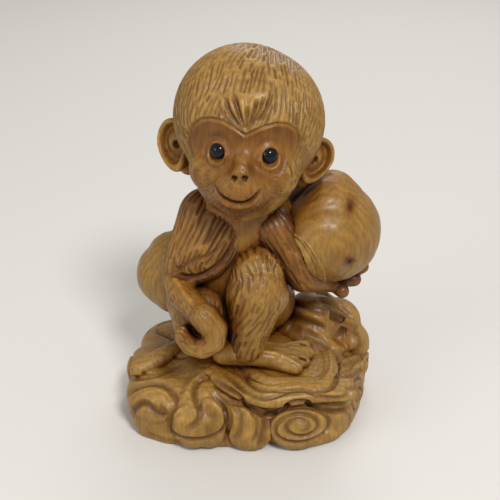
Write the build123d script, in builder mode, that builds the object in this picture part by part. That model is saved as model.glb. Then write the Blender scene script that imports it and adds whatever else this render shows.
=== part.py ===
from build123d import *
import math
import os

# Whole figure. Places are shares of its width, depth and height, measured from the
# centre of its footprint: right of the viewer, away from the viewer, and up.
figure_width = 59.2
figure_depth = 44.0
figure_height = 86.0
quarter_turn = 90.0
half_turn = 180.0

# Cloud base: round lobes about a domed core, drawn in at the underside
base_height = 12.6
base_core_radius = 20.0
base_foot_inset = 1.6
base_crown_inset = 5.2
mound_rise = 5.0
rim_bulge_share = 0.52
lobe_place_shares = (
    (-0.325, -0.190), (-0.215, -0.275), (-0.010, -0.280), (0.185, -0.280), (0.300, -0.130), (0.334, 0.057),
    (0.285, 0.255), (0.098, 0.312), (-0.113, 0.312), (-0.300, 0.255), (-0.352, 0.034),
)
lobe_radii = (9.4, 7.8, 8.4, 8.4, 8.0, 8.4, 9.0, 8.2, 8.2, 9.4, 8.8)
front_notch_radius = 2.2
front_notch_shares = (0.060, -0.470)
hidden_lobes_start = 4
ring_groove_radius = 0.8
ring_sink_share = 0.75
ring_radii = (1.7, 3.9)
ring_height_share = 0.49

# Rock that rises behind the foot, under the large peach. Heights of all the cloud's forms are shares of
# the base's height.
rock_place_shares = ((0.267, 0.159, 1.467), (0.360, 0.182, 1.310), (0.410, 0.136, 0.956))
rock_radii = (7.2, 6.2, 5.0)
rock_foot_share = 0.614

# Scrolls carved on the front of the cloud
scroll_depth = 5.0
scroll_edge_radius = 1.0
spiral_radius = 6.3
spiral_line_width = 0.9
spiral_line_depth = 1.1
spiral_start_radius = 1.2
spiral_half_turns = 4
spiral_margin = 0.6
spiral_place_shares = (0.196, -0.474, 0.587)
spiral_face_shares = (0.10, -0.97, 0.20)
hook_radius = 6.3
hook_band = 2.4
hook_hollow = 1.4
hook_knob_radius = 2.6
hook_place_shares = (-0.176, -0.466, 0.614)
hook_face_shares = (-0.14, -0.97, 0.20)
fan_radius = 5.6
fan_band = 1.5
fan_gap = 0.7
fan_arcs = 4
fan_place_shares = (0.004, -0.468, 0.580)
fan_face_shares = (0.02, -0.97, 0.20)
curl_radius = 5.6
curl_line_width = 1.7
curl_line_radius = 2.4
curl_start_angle = 30.0
curl_turn_angle = 230.0
curl_place_shares = (-0.372, -0.395, 0.642)
curl_face_shares = (-0.38, -0.90, 0.22)

# Ribbon of cloud along the front rim, and the round roll at the left
ribbon_radius = 1.7
ribbon_height_share = 1.085
ribbon_shares = ((-0.150, -0.235), (-0.025, -0.410), (0.070, -0.462), (0.170, -0.445), (0.285, -0.418), (0.375, -0.400))
roll_radius = 2.6
roll_start_shares = (-0.432, -0.132, 1.010)
roll_end_shares = (-0.284, -0.014, 1.126)

# Cushion of cloud that the foot rests on
cushion_height = 3.0
cushion_edge = 1.4
cushion_inner_radius = 6.0
cushion_outer_radius = 7.6
cushion_top_share = 1.297
cushion_inner_shares = (0.052, -0.215)
cushion_outer_shares = (0.220, -0.215)

# Torso and neck
hips_radius = 13.6
chest_radius = 11.6
neck_radius = 9.0
hips_shares = (-0.071, 0.145, 0.291)
chest_shares = (-0.060, 0.075, 0.512)
neck_shares = (-0.025, 0.023, 0.605)

# Head
cranium_radius = 15.3
jaw_radius = 11.2
jaw_forward = 3.3
jaw_drop = 9.2
muzzle_radius = 6.4
muzzle_forward = 9.8
muzzle_drop = 12.8
head_pitch = -18.0
head_roll = 3.3
head_yaw = -5.0
head_shares = (0.003, 0.011, 0.816)
face_inset = 0.5
hairline_shares = ((0.0, -0.19), (-0.36, 0.055), (-0.72, -0.28), (-0.66, -0.60), (-0.98, -0.90), (-0.62, -1.50))
smile_radius = 5.1
smile_width = 0.7
smile_depth = 0.6
smile_half_angle = 65.0
smile_drop = 9.6
nostril_radius = 0.45
nostril_spacing = 2.4
nostril_drop = 11.0

# Black glass bead eyes in drilled sockets
eye_radius = 1.85
eye_spacing = 9.9
eye_drop = 6.0
eye_sink = 0.45
eyelid_radius = 0.45
eye_glue_gap = 0.04

# Cupped ears
ear_radius = 5.0
ear_wall = 1.2
ear_back = 0.6
ear_drop = 6.4
ear_reach = 15.4
ear_splay = 42.0

# Right arm, and the loose fist over the right knee
shoulder_radius = 6.4
elbow_radius = 3.7
wrist_radius = 2.8
cape_shoulder_radius = 6.2
cape_hem_radius = 4.6
cape_shoulder_shares = (-0.100, -0.075, 0.545)
cape_hem_shares = (-0.200, -0.120, 0.466)
right_shoulder_shares = (-0.160, 0.005, 0.560)
right_elbow_shares = (-0.268, -0.095, 0.428)
right_wrist_shares = (-0.177, -0.330, 0.360)
fist_radius = 3.2
finger_radius = 1.75
finger_pitch = 2.7
fingers = 3
finger_start_angle = -50.0
finger_curl_angle = 265.0
fist_shares = (-0.189, -0.390, 0.335)
fist_axis_shares = (0.16, 0.84, -0.52)

# Left arm and the hand under the large peach
left_shoulder_radius = 4.8
left_wrist_radius = 3.9
left_palm_radius = 3.2
left_fingertip_radius = 1.5
left_shoulder_shares = (0.120, -0.140, 0.500)
left_wrist_shares = (0.200, -0.105, 0.420)
left_palm_shares = (0.315, 0.030, 0.372)
left_fingertip_shares = ((0.350, -0.030, 0.362), (0.398, 0.045, 0.376), (0.428, 0.102, 0.395), (0.447, 0.170, 0.415))

# Right leg, folded under the fist
hip_radius = 9.8
right_knee_radius = 6.9
right_ankle_radius = 4.4
right_hip_shares = (-0.181, 0.159, 0.297)
right_knee_shares = (-0.181, -0.140, 0.318)
right_ankle_shares = (-0.205, -0.130, 0.240)

# Left leg, knee up, and its foot on the cushion
left_hip_radius = 7.8
left_knee_radius = 5.9
left_calf_radius = 6.0
left_ankle_radius = 3.6
left_hip_shares = (0.050, 0.100, 0.291)
left_knee_shares = (0.030, -0.193, 0.458)
left_calf_shares = (0.016, -0.236, 0.384)
left_ankle_shares = (-0.008, -0.268, 0.254)
heel_radius = 3.2
foot_ball_radius = 3.0
toe_radius = 1.7
heel_shares = (-0.010, -0.262, 0.222)
foot_ball_shares = (0.135, -0.200, 0.202)
toe_shares = ((0.275, -0.275, 0.192), (0.322, -0.195, 0.190), (0.312, -0.105, 0.194), (0.250, -0.035, 0.200))

# Peaches: one carried on the left shoulder, one behind the right hip
large_peach_radius = 11.8
small_peach_radius = 9.9
peach_tip_reach_share = 0.20
peach_tip_width_share = 0.22
peach_neck_angle = 36.0
peach_lobe_share = 0.66
peach_lobe_offset_share = 0.30
peach_lobe_rise_share = 0.34
peach_cheek_share = 0.84
peach_cheek_shares = (0.22, 0.05, 0.26)
peach_suture_share = 0.06
large_peach_shares = (0.300, 0.080, 0.503)
large_peach_lean_shares = (0.10, 0.0, 1.0)
small_peach_shares = (-0.262, 0.250, 0.322)
small_peach_lean_shares = (-0.16, -0.05, 1.0)
suture_start_angle = -60.0
suture_turn_angle = 125.0
large_suture_shares = (-0.94, -0.34, 0.0)
small_suture_shares = (-0.45, 0.89, 0.0)

# Leaf that hugs the large peach, over the wrist
leaf_thickness = 0.9
leaf_length = 15.0
leaf_width = 6.0
leaf_lean = -58.0
leaf_place_shares = (-0.32, -0.10, -0.22)


def spot(shares):
    """The point at these shares of the figure's width, depth and height."""
    across, deep, high = shares
    return Vector(figure_width * across, figure_depth * deep, figure_height * high)


def cloud_spot(shares):
    """The point at these shares of the figure's width and depth, and of the base's height."""
    across, deep, high = shares
    return Vector(figure_width * across, figure_depth * deep, base_height * high)


def floor_spot(shares, height=0):
    """The point at these shares of the figure's width and depth, at a height."""
    across, deep = shares
    return Vector(figure_width * across, figure_depth * deep, height)


def limb(start, end, start_radius, end_radius, mode=Mode.ADD):
    """A round tapered limb: two balls and the cone that touches both."""
    run = end - start
    squarest = min((Axis.X, Axis.Y, Axis.Z), key=lambda axis: abs(run.dot(axis.direction)))
    plane = Plane(origin=start, x_dir=run, z_dir=run.cross(squarest.direction))
    lean = math.degrees(math.asin((start_radius - end_radius) / run.length))
    with BuildSketch(plane) as half:
        with BuildLine():
            near = CenterArc((0, 0), start_radius, quarter_turn - lean, quarter_turn + lean)
            far = CenterArc((run.length, 0), end_radius, 0, quarter_turn - lean)
            Line(near @ 0, far @ 1)
            Line(near @ 1, far @ 0)
        make_face()
    revolve(half.sketch, axis=Axis(start, run), mode=mode)


def ball(centre, radius, mode=Mode.ADD):
    with Locations(centre):
        Sphere(radius, mode=mode)


# Head frame: X to the monkey's left, Y to the back of the head, Z to the crown
head_turn = Rotation(Z=head_yaw) * Rotation(Y=head_roll) * Rotation(X=head_pitch)
head_plane = Plane(Location(spot(head_shares)) * head_turn)
face_plane = Plane(origin=head_plane.origin, x_dir=head_plane.x_dir, z_dir=-head_plane.y_dir)


def in_head(across, deep, high):
    return head_plane.from_local_coords(Vector(across, deep, high))


def skull(inset=0, mode=Mode.ADD):
    """Cranium, jaw, muzzle and brow, drawn in by an inset."""
    jaw = in_head(0, -jaw_forward, -jaw_drop)
    limb(head_plane.origin, jaw, cranium_radius - inset, jaw_radius - inset, mode=mode)
    ball(in_head(0, -muzzle_forward, -muzzle_drop), muzzle_radius - inset, mode=mode)


def eye_place(side):
    across = side * eye_spacing / 2
    deep = math.sqrt((cranium_radius - face_inset) ** 2 - across**2 - eye_drop**2)
    return in_head(across, eye_sink - deep, -eye_drop)


sides = {"right": -1, "left": 1}


def facing(place_shares, face_shares):
    """A plane on the rim of the cloud that faces outwards, its X to the right."""
    outward = Vector(*face_shares)
    return Plane(origin=cloud_spot(place_shares), x_dir=Axis.Z.direction.cross(outward), z_dir=outward)


def scroll_disc(plane, radius):
    """A round-edged disc let into the rim, its face on the plane."""
    with BuildSketch(plane) as outline:
        Circle(radius)
    disc = extrude(outline.sketch, amount=-scroll_depth)
    front = disc.faces().sort_by(Axis(plane.origin, plane.z_dir))[-1]
    fillet(front.edges(), scroll_edge_radius)


def scroll_seat(plane, radius):
    """The pocket that such a disc fills, open to the front."""
    with BuildSketch(plane) as outline:
        Circle(radius)
    extrude(outline.sketch, amount=-scroll_depth, mode=Mode.SUBTRACT)
    extrude(outline.sketch, amount=scroll_depth, mode=Mode.SUBTRACT)


# Cushion of cloud under the foot
with BuildPart() as cloud_cushion:
    cushion_top = base_height * cushion_top_share
    cushion_inner = floor_spot(cushion_inner_shares)
    cushion_outer = floor_spot(cushion_outer_shares)
    with BuildSketch(Plane.XY.offset(cushion_top)) as cushion_outline:
        with Locations((cushion_inner.X, cushion_inner.Y)):
            Circle(cushion_inner_radius)
        with Locations((cushion_outer.X, cushion_outer.Y)):
            Circle(cushion_outer_radius)
        make_hull()
    extrude(amount=-cushion_height)
    fillet(faces().sort_by(Axis.Z)[-1].edges(), cushion_edge)

# Ribbon of cloud along the front rim
with BuildPart() as cloud_ribbon:
    ribbon_height = base_height * ribbon_height_share
    ribbon_spots = [floor_spot(shares, ribbon_height) for shares in ribbon_shares]
    with BuildLine() as ribbon_path:
        stretch = ThreePointArc(*ribbon_spots[:3])
        for place in ribbon_spots[3:]:
            stretch = TangentArc(stretch @ 1, place, tangent=stretch % 1)
    with BuildSketch(Plane(origin=ribbon_path.line @ 0, z_dir=ribbon_path.line % 0)):
        Circle(ribbon_radius)
    sweep(path=ribbon_path.line)
    ball(ribbon_path.line @ 0, ribbon_radius)
    ball(ribbon_path.line @ 1, ribbon_radius)
    add(cloud_cushion.part, mode=Mode.SUBTRACT)

# Big spiral at the right of the front rim
with BuildPart() as spiral_scroll:
    spiral_plane = facing(spiral_place_shares, spiral_face_shares)
    scroll_disc(spiral_plane, spiral_radius)
    spiral_room = spiral_radius - scroll_edge_radius - spiral_margin - spiral_line_width / 2 - spiral_start_radius
    spiral_growth = spiral_room / spiral_half_turns
    with BuildSketch(spiral_plane) as spiral_channel:
        with BuildLine():
            for turn in range(spiral_half_turns):
                odd = turn % 2
                reach = spiral_start_radius + spiral_growth * turn
                CenterArc((spiral_growth * odd, 0), reach, odd * half_turn, half_turn)
        trace(line_width=spiral_line_width)
    extrude(spiral_channel.sketch, amount=-spiral_line_depth, mode=Mode.SUBTRACT)
    add(cloud_ribbon.part, mode=Mode.SUBTRACT)

# Hooked scroll at the left of the middle: a hollowed disc with a knob in it
with BuildPart() as hooked_scroll:
    hook_plane = facing(hook_place_shares, hook_face_shares)
    scroll_disc(hook_plane, hook_radius)
    with BuildSketch(hook_plane) as hook_channel:
        Circle(hook_radius - hook_band)
    extrude(hook_channel.sketch, amount=-hook_hollow, mode=Mode.SUBTRACT)
    ball(hook_plane.from_local_coords((0, 0, -hook_hollow)), hook_knob_radius)
    add(cloud_ribbon.part, mode=Mode.SUBTRACT)

# Fan of nested arcs beside it
with BuildPart() as fan_scroll:
    fan_plane = facing(fan_place_shares, fan_face_shares)
    scroll_disc(fan_plane, fan_radius)
    with BuildSketch(fan_plane) as fan_channels:
        for count in reversed(range(fan_arcs)):
            outer = (count + 1) * (fan_band + fan_gap)
            with Locations((-fan_radius, fan_radius / 2)):
                Circle(outer + fan_band)
                Circle(outer + fan_band - fan_gap, mode=Mode.SUBTRACT)
    extrude(fan_channels.sketch, amount=-fan_gap, mode=Mode.SUBTRACT)
    scroll_seat(spiral_plane, spiral_radius)
    scroll_seat(hook_plane, hook_radius)
    add(cloud_ribbon.part, mode=Mode.SUBTRACT)

# Curl at the left corner, hollowed like a C
with BuildPart() as corner_curl:
    curl_plane = facing(curl_place_shares, curl_face_shares)
    scroll_disc(curl_plane, curl_radius)
    with BuildSketch(curl_plane) as curl_channel:
        with BuildLine():
            CenterArc((0, 0), curl_line_radius, curl_start_angle, curl_turn_angle)
        trace(line_width=curl_line_width)
    extrude(curl_channel.sketch, amount=-hook_hollow, mode=Mode.SUBTRACT)
    scroll_seat(hook_plane, hook_radius)

# Round roll of cloud at the left
with BuildPart() as cloud_roll:
    limb(cloud_spot(roll_start_shares), cloud_spot(roll_end_shares), roll_radius, roll_radius)

scroll_seats = (
    (spiral_plane, spiral_radius), (hook_plane, hook_radius), (fan_plane, fan_radius), (curl_plane, curl_radius)
)

# Cloud base, with a seat for each of those forms
with BuildPart() as cloud_base:
    bulge = base_height * rim_bulge_share
    for place, radius in [((0, 0), base_core_radius), *zip(lobe_place_shares, lobe_radii)]:
        centre = floor_spot(place)
        with BuildSketch(Plane(origin=centre, x_dir=Axis.X.direction, z_dir=-Axis.Y.direction)) as barrel:
            with BuildLine():
                side = ThreePointArc(
                    (radius - base_foot_inset, 0), (radius - base_foot_inset / 4, bulge / 2), (radius, bulge)
                )
                shoulder = TangentArc(
                    side @ 1, (radius - base_crown_inset, base_height), tangent=Axis.Y.direction
                )
                Polyline(shoulder @ 1, (0, base_height), (0, 0), side @ 0)
            make_face()
        revolve(barrel.sketch, axis=Axis(centre, Axis.Z.direction))
    dome_radius = figure_depth / 2 - base_crown_inset
    mound_height = base_height + mound_rise
    with BuildSketch(Plane.XZ) as mound:
        with BuildLine():
            crown = RadiusArc(
                (dome_radius, base_height), (0, mound_height), -(dome_radius**2 + mound_rise**2) / (2 * mound_rise)
            )
            Polyline(crown @ 1, (0, 0), (dome_radius, 0), crown @ 0)
        make_face()
    revolve(mound.sketch, axis=Axis.Z)
    ball(floor_spot(front_notch_shares), front_notch_radius, mode=Mode.SUBTRACT)
    for plane, radius in scroll_seats:
        scroll_seat(plane, radius)
    for form in (cloud_ribbon, cloud_roll):
        add(form.part, mode=Mode.SUBTRACT)
    extrude(cushion_outline.sketch, amount=-cushion_height, mode=Mode.SUBTRACT)
    extrude(cushion_outline.sketch, amount=mound_height, mode=Mode.SUBTRACT)
    for place, radius in tuple(zip(lobe_place_shares, lobe_radii))[hidden_lobes_start:]:
        middle = floor_spot(place, base_height * ring_height_share)
        outward = floor_spot(place).normalized()
        for ring in ring_radii:
            sink = ring_sink_share * (radius - math.sqrt(radius**2 - ring**2))
            with Locations(Plane(origin=middle + outward * (radius - sink), z_dir=outward)):
                Torus(ring, ring_groove_radius, mode=Mode.SUBTRACT)

# Rock behind the foot
with BuildPart() as back_rock:
    for shares, radius in zip(rock_place_shares, rock_radii):
        peak = cloud_spot(shares)
        foot = Vector(peak.X, peak.Y, base_height * rock_foot_share)
        limb(foot, peak, radius, radius)
    add(cloud_base.part, mode=Mode.SUBTRACT)
    add(cloud_cushion.part, mode=Mode.SUBTRACT)

# Head: the face is cut back inside a heart-shaped hairline
with BuildPart() as face_cut:
    with BuildSketch(face_plane) as heart:
        with BuildLine():
            peak, lobe, temple, cheek, jowl, chin = [
                (cranium_radius * across, cranium_radius * high) for across, high in hairline_shares
            ]
            ThreePointArc(peak, lobe, temple)
            Polyline(temple, cheek, jowl, chin, (0, chin[1]), peak)
        make_face()
        mirror(about=Plane.YZ)
    extrude(heart.sketch, amount=cranium_radius * 2)
    skull(face_inset, mode=Mode.SUBTRACT)

with BuildPart() as smile_cut:
    with BuildSketch(face_plane) as smile:
        with BuildLine():
            CenterArc((0, -smile_drop), smile_radius, -quarter_turn - smile_half_angle, 2 * smile_half_angle)
        trace(line_width=smile_width)
    extrude(smile.sketch, amount=cranium_radius * 2)
    skull(face_inset + smile_depth, mode=Mode.SUBTRACT)

with BuildPart() as head:
    skull()
    add(face_cut.part, mode=Mode.SUBTRACT)
    add(smile_cut.part, mode=Mode.SUBTRACT)
    for side in sides.values():
        place = eye_place(side)
        with Locations(Plane(origin=place, z_dir=place - head_plane.origin)):
            Torus(eye_radius, eyelid_radius)
            Sphere(eye_radius + eye_glue_gap, mode=Mode.SUBTRACT)
        across = side * nostril_spacing / 2
        deep = muzzle_forward + math.sqrt((muzzle_radius - face_inset) ** 2 - across**2)
        ball(in_head(across, -deep, -nostril_drop), nostril_radius, mode=Mode.SUBTRACT)


def eye(side):
    with BuildPart() as bead:
        ball(eye_place(side), eye_radius)
    return bead


def ear(side):
    """A cup with a round rim, cut where it meets the head."""
    splay = math.radians(ear_splay)
    place = in_head(side * ear_reach, ear_back, -ear_drop)
    open_way = in_head(side * math.sin(splay), -math.cos(splay), 0) - head_plane.origin
    with BuildPart() as cup:
        with BuildSketch(Plane(origin=place, x_dir=open_way, z_dir=head_plane.z_dir)) as half:
            with BuildLine():
                inner = ear_radius - ear_wall
                back = CenterArc((0, 0), ear_radius, quarter_turn, quarter_turn)
                hollow = CenterArc((0, 0), inner, quarter_turn, quarter_turn)
                ThreePointArc(back @ 0, (ear_wall / 2, ear_radius - ear_wall / 2), hollow @ 0)
                Line(back @ 1, hollow @ 1)
            make_face()
        revolve(half.sketch, axis=Axis(place, open_way))
        add(head.part, mode=Mode.SUBTRACT)
    return cup


right_eye, left_eye = [eye(side) for side in sides.values()]
right_ear, left_ear = [ear(side) for side in sides.values()]

# Torso, cut by the head above and the cloud below
with BuildPart() as torso:
    limb(spot(hips_shares), spot(chest_shares), hips_radius, chest_radius)
    limb(spot(chest_shares), spot(neck_shares), chest_radius, neck_radius)
    for larger in (head, cloud_base, cloud_cushion, back_rock):
        add(larger.part, mode=Mode.SUBTRACT)


def peach_plane(centre_shares, lean_shares, suture_shares):
    """The plane through a peach's suture: X to the suture, Y to the tip."""
    suture_way = Vector(*suture_shares)
    return Plane(origin=spot(centre_shares), x_dir=suture_way, z_dir=suture_way.cross(Vector(*lean_shares)))


def cheek_place(profile_plane, radius, side):
    forward, rise, across = [radius * share for share in peach_cheek_shares]
    return profile_plane.from_local_coords((forward, rise, side * across))


def peach(profile_plane, radius, neighbours):
    """A ball drawn up to a blunt tip, with a cheek each side of a suture."""
    with BuildPart() as fruit:
        with BuildSketch(profile_plane) as half:
            with BuildLine():
                body = CenterArc((0, 0), radius, -quarter_turn, quarter_turn + peach_neck_angle)
                tip = (radius * peach_tip_width_share, radius * (1 + peach_tip_reach_share))
                neck = TangentArc(body @ 1, tip, tangent=body % 1)
                Polyline(neck @ 1, (0, tip[1]), body @ 0)
            make_face()
        revolve(half.sketch, axis=Axis(profile_plane.origin, profile_plane.y_dir))
        lobe = (radius * peach_lobe_offset_share, radius * peach_lobe_rise_share)
        top = (0, tip[1] - tip[0])
        limb(
            profile_plane.from_local_coords(lobe), profile_plane.from_local_coords(top), radius * peach_lobe_share, tip[0]
        )
        for side in sides.values():
            ball(cheek_place(profile_plane, radius, side), radius * peach_cheek_share)
        with Locations(profile_plane.location * Rotation(Z=suture_start_angle)):
            Torus(
                radius, radius * peach_suture_share, major_angle=suture_turn_angle, align=None, mode=Mode.SUBTRACT
            )
        for larger in neighbours:
            add(larger.part, mode=Mode.SUBTRACT)
    return fruit


large_peach_plane = peach_plane(large_peach_shares, large_peach_lean_shares, large_suture_shares)
small_peach_plane = peach_plane(small_peach_shares, small_peach_lean_shares, small_suture_shares)
large_peach = peach(large_peach_plane, large_peach_radius, (head, torso))
small_peach = peach(small_peach_plane, small_peach_radius, (torso, cloud_base))

# Leaf: a thin shell over the peach's front cheek, inside a lens outline
with BuildPart() as peach_leaf:
    front_cheek = cheek_place(large_peach_plane, large_peach_radius, sides["right"])
    leaf_reach = large_peach_radius * peach_cheek_share + leaf_thickness
    ball(front_cheek, leaf_reach)
    leaf_middle = front_cheek + Vector(*leaf_place_shares) * large_peach_radius
    with BuildSketch(Plane(origin=leaf_middle, x_dir=Axis.X.direction, z_dir=-Axis.Y.direction)) as lens:
        leaf_arc = ((leaf_length / 2) ** 2 + (leaf_width / 2) ** 2) / leaf_width
        with Locations(Rotation(Z=leaf_lean)):
            with Locations((0, leaf_arc - leaf_width / 2)):
                Circle(leaf_arc)
            with Locations((0, leaf_width / 2 - leaf_arc)):
                Circle(leaf_arc, mode=Mode.INTERSECT)
    extrude(lens.sketch, amount=leaf_reach, mode=Mode.INTERSECT)
    add(large_peach.part, mode=Mode.SUBTRACT)

# Right leg, folded, and left leg with the knee up
with BuildPart() as right_leg:
    limb(spot(right_hip_shares), spot(right_knee_shares), hip_radius, right_knee_radius)
    limb(spot(right_knee_shares), spot(right_ankle_shares), right_knee_radius, right_ankle_radius)
    for larger in (torso, small_peach, cloud_base, cloud_roll):
        add(larger.part, mode=Mode.SUBTRACT)

with BuildPart() as left_leg:
    limb(spot(left_hip_shares), spot(left_knee_shares), left_hip_radius, left_knee_radius)
    limb(spot(left_knee_shares), spot(left_calf_shares), left_knee_radius, left_calf_radius)
    limb(spot(left_calf_shares), spot(left_ankle_shares), left_calf_radius, left_ankle_radius)
    for larger in (torso, right_leg, large_peach, cloud_base, cloud_cushion, back_rock):
        add(larger.part, mode=Mode.SUBTRACT)

with BuildPart() as left_foot:
    ball_of_foot = spot(foot_ball_shares)
    limb(spot(heel_shares), ball_of_foot, heel_radius, foot_ball_radius)
    for shares in toe_shares:
        limb(ball_of_foot, spot(shares), foot_ball_radius, toe_radius)
    for larger in (left_leg, right_leg, torso, cloud_base, cloud_cushion, back_rock):
        add(larger.part, mode=Mode.SUBTRACT)

# Right arm and its loose fist
with BuildPart() as right_arm:
    limb(spot(right_shoulder_shares), spot(right_elbow_shares), shoulder_radius, elbow_radius)
    limb(spot(right_elbow_shares), spot(right_wrist_shares), elbow_radius, wrist_radius)
    limb(spot(cape_shoulder_shares), spot(cape_hem_shares), cape_shoulder_radius, cape_hem_radius)
    for larger in (torso, head, right_leg, left_leg, small_peach):
        add(larger.part, mode=Mode.SUBTRACT)

with BuildPart() as right_hand:
    fist_way = Vector(*fist_axis_shares).normalized()
    sideways = fist_way.cross(Axis.Z.direction)
    curl_start = Location(Plane(origin=spot(fist_shares), x_dir=sideways, z_dir=fist_way)) * Rotation(
        Z=finger_start_angle
    )
    for count in range(fingers):
        with Locations(Location(fist_way * finger_pitch * count) * curl_start):
            Torus(fist_radius, finger_radius, major_angle=finger_curl_angle, align=None)
        with Locations(Location(fist_way * finger_pitch * count) * curl_start * Rotation(Z=finger_curl_angle)):
            with Locations((fist_radius, 0, 0)):
                Sphere(finger_radius)
    knuckle = (curl_start * Location((fist_radius, 0, 0))).position
    limb(spot(right_wrist_shares), knuckle, wrist_radius, finger_radius)
    for larger in (right_arm, right_leg, left_leg, torso, cloud_base):
        add(larger.part, mode=Mode.SUBTRACT)

# Left arm and the hand under the peach
with BuildPart() as left_arm:
    limb(spot(left_shoulder_shares), spot(left_wrist_shares), left_shoulder_radius, left_wrist_radius)
    for larger in (torso, head, large_peach, left_leg, peach_leaf):
        add(larger.part, mode=Mode.SUBTRACT)

with BuildPart() as left_hand:
    palm = spot(left_palm_shares)
    limb(spot(left_wrist_shares), palm, left_wrist_radius, left_palm_radius)
    for shares in left_fingertip_shares:
        limb(palm, spot(shares), left_palm_radius, left_fingertip_radius)
    for larger in (left_arm, large_peach, peach_leaf, left_leg, torso, back_rock):
        add(larger.part, mode=Mode.SUBTRACT)

carving = {
    "cloud_base": cloud_base,
    "back_rock": back_rock,
    "spiral_scroll": spiral_scroll,
    "hooked_scroll": hooked_scroll,
    "fan_scroll": fan_scroll,
    "corner_curl": corner_curl,
    "cloud_ribbon": cloud_ribbon,
    "cloud_roll": cloud_roll,
    "cloud_cushion": cloud_cushion,
    "torso": torso,
    "head": head,
    "right_ear": right_ear,
    "left_ear": left_ear,
    "right_eye": right_eye,
    "left_eye": left_eye,
    "right_arm": right_arm,
    "right_hand": right_hand,
    "left_arm": left_arm,
    "left_hand": left_hand,
    "right_leg": right_leg,
    "left_leg": left_leg,
    "left_foot": left_foot,
    "large_peach": large_peach,
    "small_peach": small_peach,
    "peach_leaf": peach_leaf,
}

os.makedirs("parts", exist_ok=True)
for name, piece in carving.items():
    piece.part.label = name
    export_step(piece.part, f"parts/{name}.step")

boxes = [piece.part.bounding_box() for piece in carving.values()]
for axis in "XYZ":
    low = min(getattr(box.min, axis) for box in boxes)
    high = max(getattr(box.max, axis) for box in boxes)
    print(axis, "from", round(low, 2), "to", round(high, 2))
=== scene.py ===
import math
import random

import bmesh
import bpy
import numpy as np
from mathutils import Matrix, Vector, noise
from mathutils.bvhtree import BVHTree
from mathutils.kdtree import KDTree


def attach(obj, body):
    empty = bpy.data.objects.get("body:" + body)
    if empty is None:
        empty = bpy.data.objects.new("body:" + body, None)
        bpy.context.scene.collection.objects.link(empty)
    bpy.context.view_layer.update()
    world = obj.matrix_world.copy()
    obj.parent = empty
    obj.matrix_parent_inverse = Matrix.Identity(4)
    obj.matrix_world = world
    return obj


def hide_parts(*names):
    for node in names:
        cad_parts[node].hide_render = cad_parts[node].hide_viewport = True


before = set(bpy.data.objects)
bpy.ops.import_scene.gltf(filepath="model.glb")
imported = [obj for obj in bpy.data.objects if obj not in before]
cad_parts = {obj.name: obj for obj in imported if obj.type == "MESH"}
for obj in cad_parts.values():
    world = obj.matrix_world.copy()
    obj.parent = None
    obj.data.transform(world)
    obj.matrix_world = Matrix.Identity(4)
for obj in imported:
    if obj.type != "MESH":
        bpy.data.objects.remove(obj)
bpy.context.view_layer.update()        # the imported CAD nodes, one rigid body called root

# Everything is sculpted in millimetres in the CAD frame and scaled to metres when a piece is finished.
toMetres = 0.001
upright = Vector((0, 0, 1))
dice = random.Random(11)

# Camera
camera = {
    "target": Vector((0.1, 0.0, 40.0)),
    "distance": 214.0,
    "elevation": math.radians(27.0),
    "focalPixels": 957.0,
    "framePixels": 500.0,
    "sensor": 36.0,
    "clip": (0.01, 20.0),
}
viewUp = Vector((0.0, math.sin(camera["elevation"]), math.cos(camera["elevation"])))
viewForward = Vector((0.0, math.cos(camera["elevation"]), -math.sin(camera["elevation"])))
viewPoint = camera["target"] - viewForward * camera["distance"]


def addObject(name, data):
    made = bpy.data.objects.new(name, data)
    bpy.context.scene.collection.objects.link(made)
    return made


cameraData = bpy.data.cameras.new("camera")
cameraData.sensor_width = camera["sensor"]
cameraData.lens = camera["sensor"] * camera["focalPixels"] / camera["framePixels"]
cameraData.clip_start, cameraData.clip_end = camera["clip"]
cameraObject = addObject("camera", cameraData)
cameraObject.location = viewPoint * toMetres
cameraObject.rotation_euler = (math.radians(90) - camera["elevation"], 0, 0)
bpy.context.scene.camera = cameraObject
print("camera placed")


def pixelWay(px, py):
    middle = camera["framePixels"] / 2
    across = (px - middle) / camera["focalPixels"]
    up = (middle - py) / camera["focalPixels"]
    return (viewForward + Vector((across, 0, 0)) + viewUp * up).normalized()


def atDepth(px, py, y, radius):
    way = pixelWay(px, py)
    return (*(viewPoint + way * ((y - viewPoint.y) / way.y)), radius)


def toPixels(points):
    offset = points - np.array(camera["target"])
    up = offset @ np.array(viewUp)
    away = camera["distance"] + offset @ np.array(viewForward)
    middle = camera["framePixels"] / 2
    scale = camera["focalPixels"] / away
    return np.stack([middle + offset[:, 0] * scale, middle - up * scale], 1)


# Rough forms: balls fused into one skin and smoothed
skinForm = {"fineBall": 6, "ballGap": 0.28, "softness": 0.5, "fineRounds": 2}


def addBall(bm, centre, radius, squash=(1, 1, 1), turn=None):
    place = Matrix.Translation(centre) @ (turn or Matrix.Identity(4)) @ Matrix.Diagonal((*squash, 1))
    levels = 4 if radius > skinForm["fineBall"] else 3
    bmesh.ops.create_icosphere(bm, subdivisions=levels, radius=radius, matrix=place)


# A smooth run of balls through (x, y, z, radius) stations
def addLimb(bm, *stations):
    for near, far in zip(stations, stations[1:]):
        near, far = Vector(near), Vector(far)
        run = (far.xyz - near.xyz).length
        steps = max(2, round(run / (min(near.w, far.w) * skinForm["ballGap"])))
        for k in range(steps + 1):
            ball = near.lerp(far, k / steps)
            addBall(bm, ball.xyz, ball.w)


def roughForm(limbs, balls=()):
    bm = bmesh.new()
    for stations in limbs:
        addLimb(bm, *stations)
    for centre, radius in balls:
        addBall(bm, centre, radius)
    return bm


def meshFrom(bm, name):
    mesh = bpy.data.meshes.new(name)
    bm.to_mesh(mesh)
    bm.free()
    return mesh


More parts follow.
